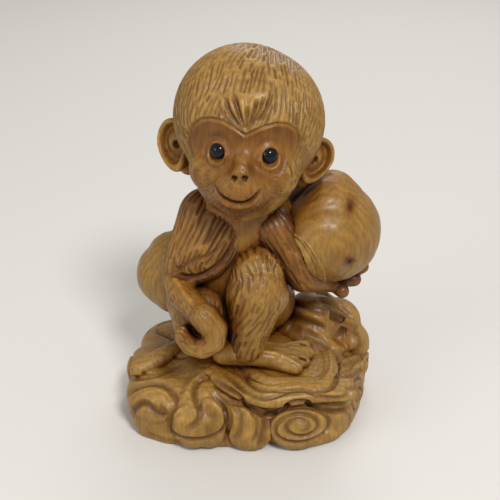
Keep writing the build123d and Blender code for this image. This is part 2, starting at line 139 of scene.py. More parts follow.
def remeshed(mesh, voxel, rounds):
    holder = addObject("holder", mesh)
    skin = holder.modifiers.new("Remesh", "REMESH")
    skin.mode = "VOXEL"
    skin.voxel_size = voxel
    soften = holder.modifiers.new("Smooth", "SMOOTH")
    soften.factor = skinForm["softness"]
    soften.iterations = rounds
    made = bpy.data.meshes.new_from_object(holder.evaluated_get(bpy.context.evaluated_depsgraph_get()))
    bpy.data.objects.remove(holder)
    return made


def readMesh(mesh):
    spots = np.empty(len(mesh.vertices) * 3)
    ways = np.empty(len(mesh.vertices) * 3)
    mesh.vertices.foreach_get("co", spots)
    mesh.vertices.foreach_get("normal", ways)
    return spots.reshape(-1, 3), ways.reshape(-1, 3)


shapes = {}


# Fuses the rough form, rounds it off and gives it a fine skin to carve
def shapePiece(name, bm, rough, rounds, fine, floor=False):
    mesh = remeshed(meshFrom(bm, "rough"), rough, rounds)
    if floor:
        bm = bmesh.new()
        bm.from_mesh(mesh)
        geometry = bm.verts[:] + bm.edges[:] + bm.faces[:]
        bmesh.ops.bisect_plane(bm, geom=geometry, plane_co=(0, 0, 0), plane_no=(0, 0, -1), clear_outer=True)
        bmesh.ops.holes_fill(bm, edges=[edge for edge in bm.edges if edge.is_boundary])
        bmesh.ops.triangulate(bm, faces=[face for face in bm.faces if len(face.verts) > 4])
        mesh = meshFrom(bm, "grounded")
    spots, ways = readMesh(mesh)
    faces = [tuple(face.vertices) for face in mesh.polygons]
    shape = shapes[name] = {
        "tree": BVHTree.FromPolygons([tuple(spot) for spot in spots], faces),
        "roughSpots": spots,
        "roughWays": ways,
        "faces": faces,
        "mesh": remeshed(mesh, fine, skinForm["fineRounds"]),
    }
    shape["spots"], shape["ways"] = readMesh(shape["mesh"])
    shape["relief"] = np.zeros(len(shape["spots"]))
    print(name, "fused:", len(shape["spots"]), "points")
    return shape


# Pushes the fine skin along its own outward ways by an offset per point
def moveSkin(shape, offset):
    shape["spots"] = shape["spots"] + shape["ways"] * offset[:, None]
    shape["mesh"].vertices.foreach_set("co", shape["spots"].ravel())
    shape["mesh"].update()
    shape["spots"], shape["ways"] = readMesh(shape["mesh"])


# Carving strokes: each is a line in space, its half width, its depth and the share of its length that tapers
strokeForm = {"roundness": 1.3, "tipRoundness": 0.6, "ridgeWearShare": 0.6}


# A Catmull-Rom line through the points, with about this gap between samples
def smoothLine(points, gap):
    points = np.array(points, float)
    padded = np.vstack([2 * points[0] - points[1], points, 2 * points[-1] - points[-2]])
    line = []
    for k in range(len(points) - 1):
        a, b, c, d = padded[k:k + 4]
        steps = max(1, int(np.linalg.norm(c - b) / gap))
        for t in np.arange(steps) / steps:
            spot = 2 * b + (c - a) * t
            spot = spot + (2 * a - 5 * b + 4 * c - d) * t**2 + (3 * b - a - 3 * c + d) * t**3
            line.append(0.5 * spot)
    line.append(points[-1])
    return np.array(line)


def firstHit(trees, start, way):
    hits = [tree.ray_cast(start, way) for tree in trees]
    hits = [hit for hit in hits if hit[0] is not None]
    return tuple(min(hits, key=lambda hit: hit[3])[0]) if hits else None


# The line of pixels laid on the first surface that the camera sees there
def castLine(trees, pixels, gap=2.5):
    hits = [firstHit(trees, viewPoint, pixelWay(px, py)) for px, py in smoothLine(pixels, gap)]
    return np.array([hit for hit in hits if hit])


# Strokes from (pixels, half width, depth), laid on what the camera sees
def castStrokes(trees, drawn, taper, gap=2.5):
    return [(castLine(trees, line, gap), half, depth, taper) for line, half, depth in drawn]


# Share of the way along a straight run, and distance from it
def besideRun(points, start, run):
    share = np.clip((points - start) @ run / max(run @ run, 1e-9), 0, 1)
    return share, np.linalg.norm(points - start - share[:, None] * run, axis=1)


def lineDistance(points, line):
    best = np.full(len(points), np.inf)
    along = np.zeros(len(points))
    for k in range(len(line) - 1):
        share, distance = besideRun(points, line[k], line[k + 1] - line[k])
        closer = distance < best
        best[closer] = distance[closer]
        along[closer] = (k + share[closer]) / (len(line) - 1)
    return best, along


# How deep each point is cut (or raised, for a negative depth) by the strokes
def strokeDepths(points, strokes):
    order = np.argsort(points[:, 2])
    heights = points[order, 2]
    cut = np.zeros(len(points))
    for line, half, depth, taper in strokes:
        if len(line) < 2:
            continue
        low, high = line.min(0) - half, line.max(0) + half
        near = order[np.searchsorted(heights, low[2]):np.searchsorted(heights, high[2])]
        spots = points[near]
        near = near[((spots[:, :2] > low[:2]) & (spots[:, :2] < high[:2])).all(1)]
        if not len(near):
            continue
        distance, along = lineDistance(points[near], line)
        ends = np.clip(np.minimum(along, 1 - along) / taper, 0, 1) ** strokeForm["tipRoundness"]
        value = depth * np.clip(1 - (distance / half) ** 2, 0, 1) ** strokeForm["roundness"] * ends
        cut[near] = np.maximum(cut[near], value) if depth > 0 else np.minimum(cut[near], value)
    return cut


# Cuts grooves, raises ridges and keeps the groove depth as relief, which later paints shade (with some stain) into the
# grooves and rubbed wear onto the ridges
def carve(shape, strokes, shadeAndWearShare=1.0):
    grooves = strokeDepths(shape["spots"], [stroke for stroke in strokes if stroke[2] > 0])
    ridges = strokeDepths(shape["spots"], [stroke for stroke in strokes if stroke[2] < 0])
    moveSkin(shape, -grooves - ridges)
    shape["relief"] = shape["relief"] + grooves * shadeAndWearShare + ridges * shadeAndWearShare * strokeForm["ridgeWearShare"]


hairForm = {
    "step": 0.45, "lengths": (0.55, 1.25), "swing": 1.3, "nearest": 0.72, "depths": (0.7, 1.2), "widths": (0.9, 1.1),
    "taper": 0.16,
}


# Evenly spaced hair lines that follow a flow over the rough form
def combLines(shape, flow, allowed, comb):
    tree, corners = shape["tree"], [face[0] for face in shape["faces"]]
    spots = shape["roughSpots"]
    cells, lines = {}, []
    spacing, step = comb["spacing"], comb["spacing"] * hairForm["step"]

    def cellOf(spot):
        return tuple(int(math.floor(value / spacing)) for value in spot)

    def crowded(spot, reach, own):
        x, y, z = cellOf(spot)
        for i in (x - 1, x, x + 1):
            for j in (y - 1, y, y + 1):
                for k in (z - 1, z, z + 1):
                    for other, number in cells.get((i, j, k), ()):
                        if number != own and (other - spot).length_squared < reach:
                            return True
        return False

    starts = [k for k in range(len(spots)) if allowed[k]]
    dice.shuffle(starts)
    for number, start in enumerate(starts):
        seed = Vector(spots[start])
        if crowded(seed, spacing * spacing, -1):
            continue
        halves = []
        target = comb["length"] * dice.uniform(*hairForm["lengths"]) / 2
        bend = dice.uniform(-1, 1) * comb["wobble"]
        for sense in (1, -1):
            spot, gone, half = seed.copy(), 0.0, []
            _, way, face, _ = tree.find_nearest(spot)
            while gone < target:
                index = corners[face]
                if not allowed[index]:
                    break
                run = Vector(flow[index])
                run = run - way * run.dot(way)
                if run.length < 1e-4:
                    break
                run.normalize()
                sway = bend * math.sin(gone * hairForm["swing"])
                sway += comb["wave"] * noise.noise(spot * comb["waveScale"])
                run = Matrix.Rotation(sway, 3, way) @ run
                ground, way, face, _ = tree.find_nearest(spot + run * step * sense)
                if crowded(ground, (spacing * hairForm["nearest"]) ** 2, number):
                    break
                spot = ground.copy()
                half.append(spot)
                gone += step
            halves.append(half)
        path = halves[1][::-1] + [seed] + halves[0]
        if len(path) * step < comb["shortest"]:
            continue
        for spot in path:
            cells.setdefault(cellOf(spot), []).append((spot, number))
        lines.append(np.array([tuple(spot) for spot in path]))
    return lines


def furStrokes(shape, flow, allowed, comb):
    strokes = []
    for line in combLines(shape, flow, allowed, comb):
        depth = comb["depth"] * dice.uniform(*hairForm["depths"])
        strokes.append((line, comb["half"] * dice.uniform(*hairForm["widths"]), depth, hairForm["taper"]))
    return strokes


# Flow that runs beside a path of places
def flowAlong(points, path):
    path = np.array(path, float)
    flow = np.zeros_like(points)
    for k in range(len(path) - 1):
        run = path[k + 1] - path[k]
        _, gap = besideRun(points, path[k], run)
        flow += (run / np.linalg.norm(run)) / (gap[:, None] ** 4 + 0.5)
    return flow


# Distance to a closed outline in the picture, positive inside it
def outlineDistance(pixels, outline):
    outline = np.array(outline, float)
    best = np.full(len(pixels), np.inf)
    inside = np.zeros(len(pixels), bool)
    for a, b in zip(outline, np.roll(outline, -1, axis=0)):
        run = b - a
        best = np.minimum(best, besideRun(pixels, a, run)[1])
        crosses = (a[1] > pixels[:, 1]) != (b[1] > pixels[:, 1])
        at = a[0] + (pixels[:, 1] - a[1]) * run[0] / (run[1] if run[1] else 1e-9)
        inside ^= crosses & (pixels[:, 0] < at)
    return np.where(inside, best, -best)


# How squarely each way faces the camera
def seenFrom(ways):
    return -(ways @ np.array(viewForward))


def ease(value, low, high):
    share = np.clip((value - low) / (high - low), 0, 1)
    return share * share * (3 - 2 * share)


def swell(value, middle, width):
    return np.exp(-((value - middle) / width) ** 2)


millimetrePixels = 4.5        # near the figure's middle

# Head
headForm = {
    "place": (0.18, 0.48, 70.18),
    "turn": (-18.0, 3.3, -5.0),
    "cranium": 15.5,
    "lopside": (-1.3, 0.6, 0.9),
    "jaw": (0.0, -3.3, -9.2, 11.1),
    "muzzle": (0.0, -9.9, -12.6, 6.3),
    "cheeks": (5.9, -7.2, -9.8, 5.6),
    "nostrils": (1.35, -15.3, -10.5, 1.35),
    "chin": (0.0, -7.8, -15.2, 5.3),
    "noseBridge": ((0.0, -12.9, -4.8, 1.5), (0.0, -15.0, -9.9, 1.95)),
    "eyeSpacing": 9.9, "eyeHeight": -6.0, "eyeForward": -12.14,
}
tiltX, tiltY, tiltZ = [math.radians(angle) for angle in headForm["turn"]]
headPlace = (
    Matrix.Translation(headForm["place"])
    @ Matrix.Rotation(tiltZ, 4, "Z") @ Matrix.Rotation(tiltY, 4, "Y") @ Matrix.Rotation(tiltX, 4, "X")
)


def inHead(x, y, z):
    return headPlace @ Vector((x, y, z))


def headStation(x, y, z, radius):
    return (*inHead(x, y, z), radius)


headTurn = headPlace.to_3x3().to_4x4()
bm = bmesh.new()
addBall(bm, inHead(0, 0.2, 0.1), headForm["cranium"], (1.015, 0.99, 0.985), headTurn)
addBall(bm, inHead(*headForm["lopside"]), headForm["cranium"] - 0.35)
addLimb(bm, headStation(0, 0, 0, headForm["cranium"] - 0.4), headStation(*headForm["jaw"]))
addBall(bm, inHead(*headForm["muzzle"][:3]), headForm["muzzle"][3], (1.04, 1, 0.92), headTurn)
for side in (-1, 1):
    for x, y, z, r in (headForm["cheeks"], headForm["nostrils"]):
        addBall(bm, inHead(side * x, y, z), r)
addBall(bm, inHead(*headForm["chin"][:3]), headForm["chin"][3])
addLimb(bm, *[headStation(*station) for station in headForm["noseBridge"]])
headShape = shapePiece("headCarving", bm, rough=0.5, rounds=9, fine=0.232)

hairline = [
    (245, 134.5), (239, 130.5), (233, 126.5), (223, 120.5), (211, 117), (199.5, 118.5), (191, 124.5), (187, 134.5),
    (187.5, 145), (190.5, 155), (196, 163), (188, 172), (190, 190), (205, 210), (237, 224), (268, 213), (284, 196),
    (292, 178), (288, 168), (295, 158.5), (299.5, 149.5), (301.5, 138), (298, 129), (289, 123.5), (277, 122.5),
    (265.5, 125.5), (254, 130.5),
]
faceForm = {
    "hairStep": 0.5, "groove": 0.28, "rim": 0.24, "heartPixels": (146, 172),
    "socket": 0.6, "socketEdge": (1.50, 1.78), "lid": 0.2, "lowerLid": 0.3, "lidFold": 0.22,
    "faceDarken": 0.28, "hairlineDarken": 0.30, "chinDarken": 0.26,
}
pixels = toPixels(headShape["spots"])
faceDepth = outlineDistance(pixels, hairline) / millimetrePixels
faceDepth = np.where(seenFrom(headShape["ways"]) > 0.02, faceDepth, -9.0)
heartShare = 1 - ease(pixels[:, 1], *faceForm["heartPixels"])
hairStep = -faceForm["hairStep"] * ease(faceDepth, -0.25, 0.3) * heartShare
rimGroove = -faceForm["groove"] * swell(faceDepth, 0.05, 0.28) * heartShare
rimRidge = faceForm["rim"] * swell(faceDepth, 0.85, 0.36) * heartShare

# Drilled eye sockets with a raised lid round each
eyeSpots = [
    inHead(side * headForm["eyeSpacing"] / 2, headForm["eyeForward"], headForm["eyeHeight"]) for side in (-1, 1)
]
headMiddle = Vector(headForm["place"])
crownWay = (inHead(0, 0, 1) - headMiddle).normalized()
lid = np.zeros(len(pixels))
for spot in eyeSpots:
    way = np.array((spot - headMiddle).normalized())
    offset = headShape["spots"] - np.array(spot)
    off = np.linalg.norm(offset - (offset @ way)[:, None] * way, axis=1)
    off[offset @ way < -4] = 9        # nothing on the far side of the head
    below = 1 - ease(offset @ np.array(crownWay), -1.6, 0.4)
    raised = (faceForm["lid"] + faceForm["lowerLid"] * below) * swell(off, 2.1, 0.36)
    lid += -faceForm["socket"] * (1 - ease(off, *faceForm["socketEdge"])) + raised
    lid -= faceForm["lidFold"] * swell(off, 3.25, 0.6)
moveSkin(headShape, hairStep + rimGroove + rimRidge + lid)
# painted shade in the groove round the face and in the eye sockets; the rim ridge and lid rings are made paler as
# rubbed wear
headShape["relief"] = -rimGroove * 1.6 - rimRidge * 0.4 - np.clip(lid, -0.4, 0.1) * 0.6

# the face is made darker overall, most just below the hairline and towards the chin
faceDarkening = faceForm["faceDarken"] + faceForm["hairlineDarken"] * swell(pixels[:, 1], 130, 15)
faceDarkening = (faceDarkening + faceForm["chinDarken"] * ease(pixels[:, 1], 190, 212)) * ease(faceDepth, -0.2, 1.2)

faceStrokes = [
    # (pixels, half width, depth)
    ([(213.8, 184), (216.3, 190.3), (221, 196), (229, 201.2), (238.5, 203.4), (248, 202.2), (255.5, 197),
      (262, 188.8)], 0.6, 1.0),
    ([(218, 197.5), (227, 204.4), (238.5, 206.8), (249.5, 205.4), (258, 199.6)], 0.5, -0.5),
    ([(210, 186), (212.5, 181.5), (215.5, 179)], 0.3, 0.14),
    ([(260, 192), (264.5, 187.5), (266, 183.5)], 0.3, 0.14),
    ([(230.8, 179.8), (233.2, 178.8), (236.2, 180.6)], 0.85, 1.2),
    ([(242.6, 180.8), (245.4, 179.0), (247.8, 179.8)], 0.85, 1.2),
    ([(239.3, 181), (239, 186.5)], 0.5, 0.16),
    ([(224, 158), (230, 168), (228, 178)], 1.5, 0.22),
    ([(257, 160), (251, 169), (253, 179)], 1.5, 0.22),
    ([(203.5, 151), (207.5, 151.2)], 0.32, 0.2),
    ([(226, 153), (229.5, 155)], 0.32, 0.2),
    ([(257.5, 156.5), (260.5, 155)], 0.32, 0.2),
    ([(278.5, 154.5), (283, 154.8)], 0.32, 0.2),
    ([(206, 141), (213, 137.2), (221, 138), (228, 143)], 0.9, 0.16),
    ([(258, 146), (265, 141.6), (274, 141.6), (281, 146)], 0.9, 0.16),
    # deep fan above the peak of the hairline
    ([(224.5, 96.6), (229, 111), (235.5, 121), (243, 129.5)], 0.72, 0.7),
    ([(233, 93), (237.5, 108), (241, 119), (244.8, 129.5)], 0.66, 0.7),
    ([(247.5, 106), (247.3, 118), (246.4, 131)], 0.6, 0.6),
    ([(257.5, 99), (254.5, 111), (250.5, 122), (247.5, 129.5)], 0.62, 0.66),
    ([(264.5, 97), (260, 109), (254.5, 119), (249, 128.5)], 0.6, 0.6),
    ([(273, 89), (268.5, 104), (262, 115.5), (253.5, 125.5)], 0.62, 0.6),
    ([(217, 103), (222, 114), (230, 122), (238, 127.5)], 0.5, 0.4),
    ([(228.8, 95), (233, 109), (238, 119.5), (243.6, 127)], 0.55, -0.34),
    ([(240.5, 93), (242.5, 107), (244, 118), (245.6, 127)], 0.8, -0.42),
    ([(252.5, 97), (251, 110), (248.8, 120), (247, 127)], 0.7, -0.42),
    ([(261, 99), (257.3, 110.5), (252, 120.5)], 0.45, -0.3),
    ([(269, 95), (263.5, 108.5), (257, 118.5)], 0.6, -0.34),
]
carve(headShape, castStrokes([headShape["tree"]], faceStrokes, 0.22))
nearFan = [(216, 90), (272, 90), (262, 124), (245.5, 137), (232, 126)]

headComb = {
    "spacing": 0.78, "length": 7.0, "shortest": 1.6, "half": 0.36, "depth": 0.33, "wobble": 0.16, "wave": 0.55,
    "waveScale": 0.16,
}
rough, roughWays = headShape["roughSpots"], headShape["roughWays"]
roughPixels, roughFacing = toPixels(rough), seenFrom(roughWays)
crown = np.array(inHead(1.5, 5.0, 15.5))
nape = np.array(inHead(0, 6.0, -22.0))
away = rough - crown
toNape = nape - rough
local = (rough - np.array(headForm["place"])) @ np.array(headPlace.to_3x3())
headFlow = away / (np.linalg.norm(away, axis=1) + 1e-6)[:, None]
lowDown = ease(-local[:, 2], 2, 12)[:, None]
headFlow = headFlow * (1 - lowDown) + lowDown * toNape / np.linalg.norm(toNape, axis=1)[:, None]
# no combed hair on the face, in the fan of deep cuts or under the jaw
hairy = ~((outlineDistance(roughPixels, hairline) > -1.6) & (roughFacing > 0.0))
hairy &= ~((outlineDistance(roughPixels, nearFan) > 1.0) & (roughFacing > 0.2))
hairy &= ~((local[:, 1] < -6) & (local[:, 2] < -12))
carve(headShape, furStrokes(headShape, headFlow, hairy, headComb), 1.5)
toolMarks = {
    "spacing": 0.72, "length": 1.5, "shortest": 0.6, "half": 0.27, "depth": 0.13, "wobble": 0.4, "wave": 0.5,
    "waveScale": 0.3,
}
nose = np.array(inHead(0, -14.0, -9.0))
bareFace = (outlineDistance(roughPixels, hairline) > 1.0) & (roughFacing > 0.0)
for spot in eyeSpots:
    bareFace &= np.linalg.norm(rough - np.array(spot), axis=1) > 2.9
carve(headShape, furStrokes(headShape, rough - nose, bareFace, toolMarks), 1.2)
print("head carved")

eyeBead = {"radius": 1.85, "across": 48, "round": 32}
beads = {}
for name, spot in zip(("rightEye", "leftEye"), eyeSpots):
    bm = bmesh.new()
    bmesh.ops.create_uvsphere(
        bm, u_segments=eyeBead["across"], v_segments=eyeBead["round"], radius=eyeBead["radius"] * toMetres,
        matrix=Matrix.Translation(spot * toMetres) @ headTurn,
    )
    beads[name] = meshFrom(bm, name)
print("eyes set")

# Ears: the stations are (across, up, out of the opening, radius)
earForm = {
    "radius": 4.9, "wall": 1.2, "reach": 15.4, "drop": -6.2, "back": 0.4, "splay": 38.0, "leanOut": 0.8, "leanIn": 2.4,
    "holePixels": {"rightEar": (175.7, 144.7), "leftEar": (314.5, 160.0)},
    "shift": {"rightEar": Vector((-0.6, 0, 0.3)), "leftEar": Vector((-0.9, 0, -0.5))},
    "height": {"rightEar": 1.04, "leftEar": 0.9},
    "fold": [(-0.4, 3.4, -2.6, 0.8), (0.6, 1.0, -3.4, 0.8), (-0.8, -2.6, -2.8, 0.9)],
    "behind": [(0.0, 0.5, -3.4, 3.6), (0.0, -2.2, -4.2, 3.0), (0.0, -4.6, -5.2, 2.4)],
    "corner": (4.3, 1.6, -0.6, 0.8),
    "hole": 1.2, "holeShade": 1.5,
}
for name, side in (("rightEar", -1), ("leftEar", 1)):
    splay = math.radians(earForm["splay"])
    middle = inHead(side * earForm["reach"], earForm["back"], earForm["drop"]) + earForm["shift"][name]
    opening = (inHead(side * math.sin(splay), -math.cos(splay), 0) - headMiddle).normalized()
    acrossWay = crownWay.cross(opening).normalized()
    earTurn = Matrix((acrossWay, crownWay, opening)).transposed()
    bm = bmesh.new()
    # a cup: the outline of its wall is spun round the way that it opens
    outer, inner = earForm["radius"], earForm["radius"] - earForm["wall"]
    profile = [(outer * math.cos(a), -outer * 0.92 * math.sin(a)) for a in np.linspace(math.pi / 2, -0.12, 18)]
    profile += [(outer - earForm["wall"] * 0.5, 0.95), (inner + 0.1, 0.45)]
    profile += [(inner * math.cos(a), -inner * 0.86 * math.sin(a)) for a in np.linspace(0, math.pi / 2, 14)]
    verts = [bm.verts.new((x, 0, z)) for x, z in profile]
    edges = [bm.edges.new(pair) for pair in zip(verts, verts[1:])]
    bmesh.ops.spin(
        bm, geom=verts + edges, cent=(0, 0, 0), axis=(0, 0, 1), angle=math.tau, steps=48, use_merge=True,
    )
    bmesh.ops.remove_doubles(bm, verts=bm.verts, dist=0.01)
    bmesh.ops.recalc_face_normals(bm, faces=bm.faces)
    # the cup narrows to a point below, towards the jaw, and leans out above
    for vert in bm.verts:
        down, above = max(-vert.co.y / outer, 0.0), max(vert.co.y / outer, 0.0)
        vert.co.x += side * (earForm["leanOut"] * above - earForm["leanIn"] * down * down)
        vert.co.y *= 1 + 0.1 * down
    stretch = Matrix.Diagonal((0.96, earForm["height"][name], 1, 1))
    place = Matrix.Translation(middle) @ earTurn.to_4x4() @ Matrix.Rotation(side * 0.25, 4, "Z") @ stretch
    bmesh.ops.transform(bm, matrix=place, verts=bm.verts)
    # a fold inside the cup, and a back that runs into the jaw
    for part in ("fold", "behind"):
        addLimb(bm, *[(*(middle + earTurn @ Vector((side * x, y, z))), r) for x, y, z, r in earForm[part]])
    x, y, z, r = earForm["corner"]
    addBall(bm, middle + earTurn @ Vector((side * x, y, z)), r)
    shape = shapePiece(name, bm, rough=0.38, rounds=4, fine=0.2)
    holeSpot = castLine([shape["tree"], headShape["tree"]], [earForm["holePixels"][name]] * 2)[0]
    for drilled in (shape, headShape):
        off = np.linalg.norm(drilled["spots"] - holeSpot, axis=1)
        moveSkin(drilled, -earForm["hole"] * (1 - ease(off, 0.5, 1.05)))
        # painted shade inside the drilled ear hole
        drilled["relief"] += earForm["holeShade"] * (1 - ease(off, 0.55, 1.25))
print("ears carved")

# Body, arms and legs
bodyForms = {
    "torsoCarving": {
        "limbs": [[(-4.2, 6.4, 25.0, 13.4), (-3.8, 4.6, 36.0, 12.8), (-3.4, 3.0, 44.5, 11.2), (-1.5, 1.0, 52.0, 9.0)]],
        "balls": [((-9.6, 1.2, 47.6), 6.4), ((4.6, 1.4, 47.0), 6.2)],
        "rough": 0.6, "rounds": 10, "fine": 0.27, "nodes": ["torso"], "tone": 0.55,
        "path": [(-2, 8, 60), (-3, 12, 45), (-4, 16, 30), (-4, 14, 16)],
        "comb": {"spacing": 1.0, "length": 8.0, "shortest": 2.0, "half": 0.44, "depth": 0.26, "wobble": 0.2,
                 "wave": 0.5, "waveScale": 0.12},
    },
    "rightArm": {
        "limbs": [
            [(-9.4, 0.3, 48.4, 6.3), (-12.9, -1.9, 42.2, 5.0), (-15.9, -4.3, 36.9, 3.5)],
            [(-15.9, -4.3, 36.9, 3.5), atDepth(181, 293, -9.5, 3.2), atDepth(203, 317, -15.5, 2.9)],
            [(-5.9, -3.3, 46.9, 6.0), (-9.4, -4.5, 43.2, 5.5), (-12.0, -5.4, 40.0, 4.5)],
            [(-4.6, -4.6, 43.6, 4.4), (-8.4, -6.0, 40.2, 4.0), (-12.6, -6.0, 38.0, 3.4)],
        ],
        "balls": [], "rough": 0.45, "rounds": 6, "fine": 0.2, "nodes": ["right_arm"], "tone": 1.0,
        "path": [(-4, 2, 54), (-8, -3, 46), (-16, -5, 37.5), (-13, -10, 34), (-9, -16, 31)],
        "comb": {"spacing": 0.95, "length": 15.0, "shortest": 2.6, "half": 0.45, "depth": 0.44, "wobble": 0.2,
                 "wave": 0.35, "waveScale": 0.14},
    },
    "leftArm": {
        "limbs": [[(5.2, -3.4, 47.0, 5.0), (9.0, -5.4, 41.6, 4.5), (11.9, -4.8, 36.2, 3.9)]],
        "balls": [], "rough": 0.45, "rounds": 6, "fine": 0.2, "nodes": ["left_arm"], "tone": 1.45,
        "path": [(2, 0, 52), (7, -4, 44), (12, -5, 36), (15, -4, 32)],
        "comb": {"spacing": 1.0, "length": 7.0, "shortest": 2.0, "half": 0.42, "depth": 0.24, "wobble": 0.15,
                 "wave": 0.3, "waveScale": 0.14},
    },
    "rightLeg": {
        "limbs": [[(-10.7, 7.0, 25.5, 9.7), (-10.9, 0.4, 26.6, 8.2), (-10.7, -6.2, 27.4, 6.9)],
                  [(-10.7, -6.2, 27.4, 6.9), (-12.1, -5.7, 20.6, 4.6)]],
        "balls": [], "rough": 0.5, "rounds": 8, "fine": 0.22, "nodes": ["right_leg"], "tone": 0.35,
        "path": [(-17, 8, 30), (-17, 0, 30), (-16, -6, 28), (-14, -8, 18)],
        "comb": {"spacing": 1.05, "length": 7.0, "shortest": 2.0, "half": 0.44, "depth": 0.26, "wobble": 0.15,
                 "wave": 0.3, "waveScale": 0.12},
    },
    "leftLeg": {
        "limbs": [
            [(3.0, 4.4, 25.0, 7.8), (2.4, -2.0, 32.4, 6.8), (1.8, -8.3, 39.2, 5.7)],
            [(1.8, -8.3, 39.2, 5.7), (1.3, -9.9, 34.0, 6.6), (0.4, -10.9, 28.4, 5.2), (-0.5, -11.8, 22.0, 3.6)],
        ],
        "balls": [((3.4, -8.4, 33.2), 5.4)], "rough": 0.5, "rounds": 8, "fine": 0.21, "nodes": ["left_leg"],
        "tone": 0.65,
        "path": [(3, 2, 34), (2, -9, 43), (3.6, -14, 38), (1.2, -16, 32), (-2.4, -15, 25), (-4.5, -13, 18)],
        "comb": {"spacing": 1.1, "length": 6.5, "shortest": 2.2, "half": 0.5, "depth": 0.36, "wobble": 0.25,
                 "wave": 0.45, "waveScale": 0.12},
    },
}
for name, form in bodyForms.items():
    shapePiece(name, roughForm(form["limbs"], form["balls"]), form["rough"], form["rounds"], form["fine"])

# Bigger cuts and folds on arm and leg, as (pixels, half width, depth)
limbStrokes = {
    "rightArm": [
        ([(158, 273), (172, 274), (186, 277), (200, 276.5), (212, 270), (222, 262), (231, 249),
          (236, 240)], 0.9, 0.85),
        ([(163, 272.5), (176, 270), (192, 261.5), (211, 254.5), (226, 241)], 0.75, 0.55),
        ([(173, 275.5), (184, 293), (193, 304), (201, 314)], 0.85, -0.6),
    ],
    "leftLeg": [
        ([(232, 291), (237, 282), (245, 277.5), (256, 275.5), (270, 276.5), (280, 281)], 0.7, 0.16),
        ([(234, 288), (239.5, 279.5), (247, 274.5), (258, 272.8), (271, 273.5), (280, 277)], 0.6, -0.12),
        ([(262, 248), (270, 255), (277, 265), (283, 276)], 0.7, -0.3),
        ([(240, 282), (236, 292), (230, 303), (226, 316)], 0.7, 0.3),
        ([(243, 286), (239, 297), (233, 309), (229, 322)], 0.6, -0.26),
    ],
}
for name, drawn in limbStrokes.items():
    carve(shapes[name], castStrokes([shapes[name]["tree"]], drawn, 0.2))

# Places with only short hair: outlines in the picture
barePlaces = {
    "rightArm": [(150, 279), (176, 276), (200, 279), (222, 268), (230, 290), (230, 345), (170, 345)],
    "rightLeg": [(170, 272), (215, 270), (222, 300), (216, 345), (186, 340), (178, 300)],
    "leftLeg": [(252, 281), (282, 281), (284, 296), (276, 313), (258, 307), (247, 297)],
}
shortHair = {
    "spacing": 0.85, "length": 1.7, "shortest": 0.7, "half": 0.3, "depth": 0.15, "wobble": 0.3, "wave": 0.4,
    "waveScale": 0.2,
}
buried = {"search": 3.0, "depth": 0.8}
for name, form in bodyForms.items():
    shape = shapes[name]
    flow = flowAlong(shape["roughSpots"], form["path"])
    allowed = np.ones(len(shape["roughSpots"]), bool)
    others = [shapes[other]["tree"] for other in shapes if other not in (name, "rightEar", "leftEar")]
    # no hair where the skin is buried in a neighbour
    for k, spot in enumerate(shape["roughSpots"]):
        spot = Vector(spot)
        for tree in others:
            ground, way, _, _ = tree.find_nearest(spot, buried["search"])
            if ground is not None and (spot - ground).dot(way) < -buried["depth"]:
                allowed[k] = False
                break
    bare = np.zeros(len(allowed), bool)
    if name in barePlaces:
        bare = outlineDistance(toPixels(shape["roughSpots"]), barePlaces[name]) > 0
        bare &= seenFrom(shape["roughWays"]) > 0.05
    hairs = furStrokes(shape, flow, allowed & ~bare, form["comb"])
    if name in barePlaces:
        hairs += furStrokes(shape, flow, allowed & bare, shortHair)
    carve(shape, hairs, 1.1)
    print(name, "combed")

# Hands and foot: the fist curls through (px, py, radius), finger beside finger
fistForm = {
    "curl": [(203, 317, 2.9), (214, 330, 2.7), (213.5, 342, 2.5), (203, 348.5, 2.3), (191, 346.5, 2.05),
             (183, 338, 1.8), (181.5, 332, 1.5)],
    "depth": -17.6, "way": Vector((0.10, 0.86, -0.42)), "pitch": 2.3, "fingers": 4, "shrink": 0.05,
    "palm": [(203, 317, -15.5, 2.9), (208, 326, -13.5, 3.2), (206, 336, -11.0, 3.2)],
}
limbs = []
for count in range(fistForm["fingers"]):
    stations = []
    for px, py, r in fistForm["curl"]:
        spot = Vector(atDepth(px, py, fistForm["depth"], r * (1 - fistForm["shrink"] * count)))
        spot.xyz = spot.xyz + fistForm["way"] * fistForm["pitch"] * count
        stations.append(tuple(spot))
    limbs.append(stations)
limbs.append([atDepth(*station) for station in fistForm["palm"]])
shapePiece("rightHand", roughForm(limbs), rough=0.36, rounds=4, fine=0.19)

handForm = {
    "wrist": (11.8, -4.6, 36.1, 3.9), "palm": (18.6, 1.3, 32.0, 3.2), "fingerRoot": (18.6, 1.3, 32.0, 2.2),
    "tips": [(20.9, -2.2, 30.7, 1.7), (23.9, 1.2, 31.9, 1.7), (25.9, 4.0, 33.7, 1.65), (27.1, 7.0, 35.5, 1.6)],
}
limbs = [(handForm["wrist"], handForm["palm"])] + [(handForm["fingerRoot"], tip) for tip in handForm["tips"]]
shapePiece("leftHand", roughForm(limbs), rough=0.36, rounds=3, fine=0.22)

# the foot's stations are (px, py, y, radius), apart from the ankle
footForm = {
    "ankle": (-0.5, -11.4, 22.0, 3.4),
    "sole": [(224, 352, -9.4, 2.9), (236, 354, -10.2, 2.6), (254, 355.5, -10.4, 2.35), (272, 358.5, -10.8, 2.15)],
    "toeRoot": (262, 356, -9.6, 2.3),
    "toes": [(295.5, 368, -12.4, 1.7), (303, 361.5, -9.8, 1.65), (307.5, 353.5, -6.6, 1.7), (304.5, 346, -3.4, 1.6)],
    "instep": [(250, 350, -8.0, 2.6), (284, 351, -6.0, 2.1), (298, 350, -5.0, 1.8)],
}
drawn = [footForm["sole"], *[(footForm["toeRoot"], toe) for toe in footForm["toes"]], footForm["instep"]]
limbs = [[atDepth(*station) for station in stations] for stations in drawn]
shapePiece("leftFoot", roughForm([(footForm["ankle"], limbs[0][0]), *limbs]), rough=0.38, rounds=5, fine=0.2)
print("hands and foot fused")

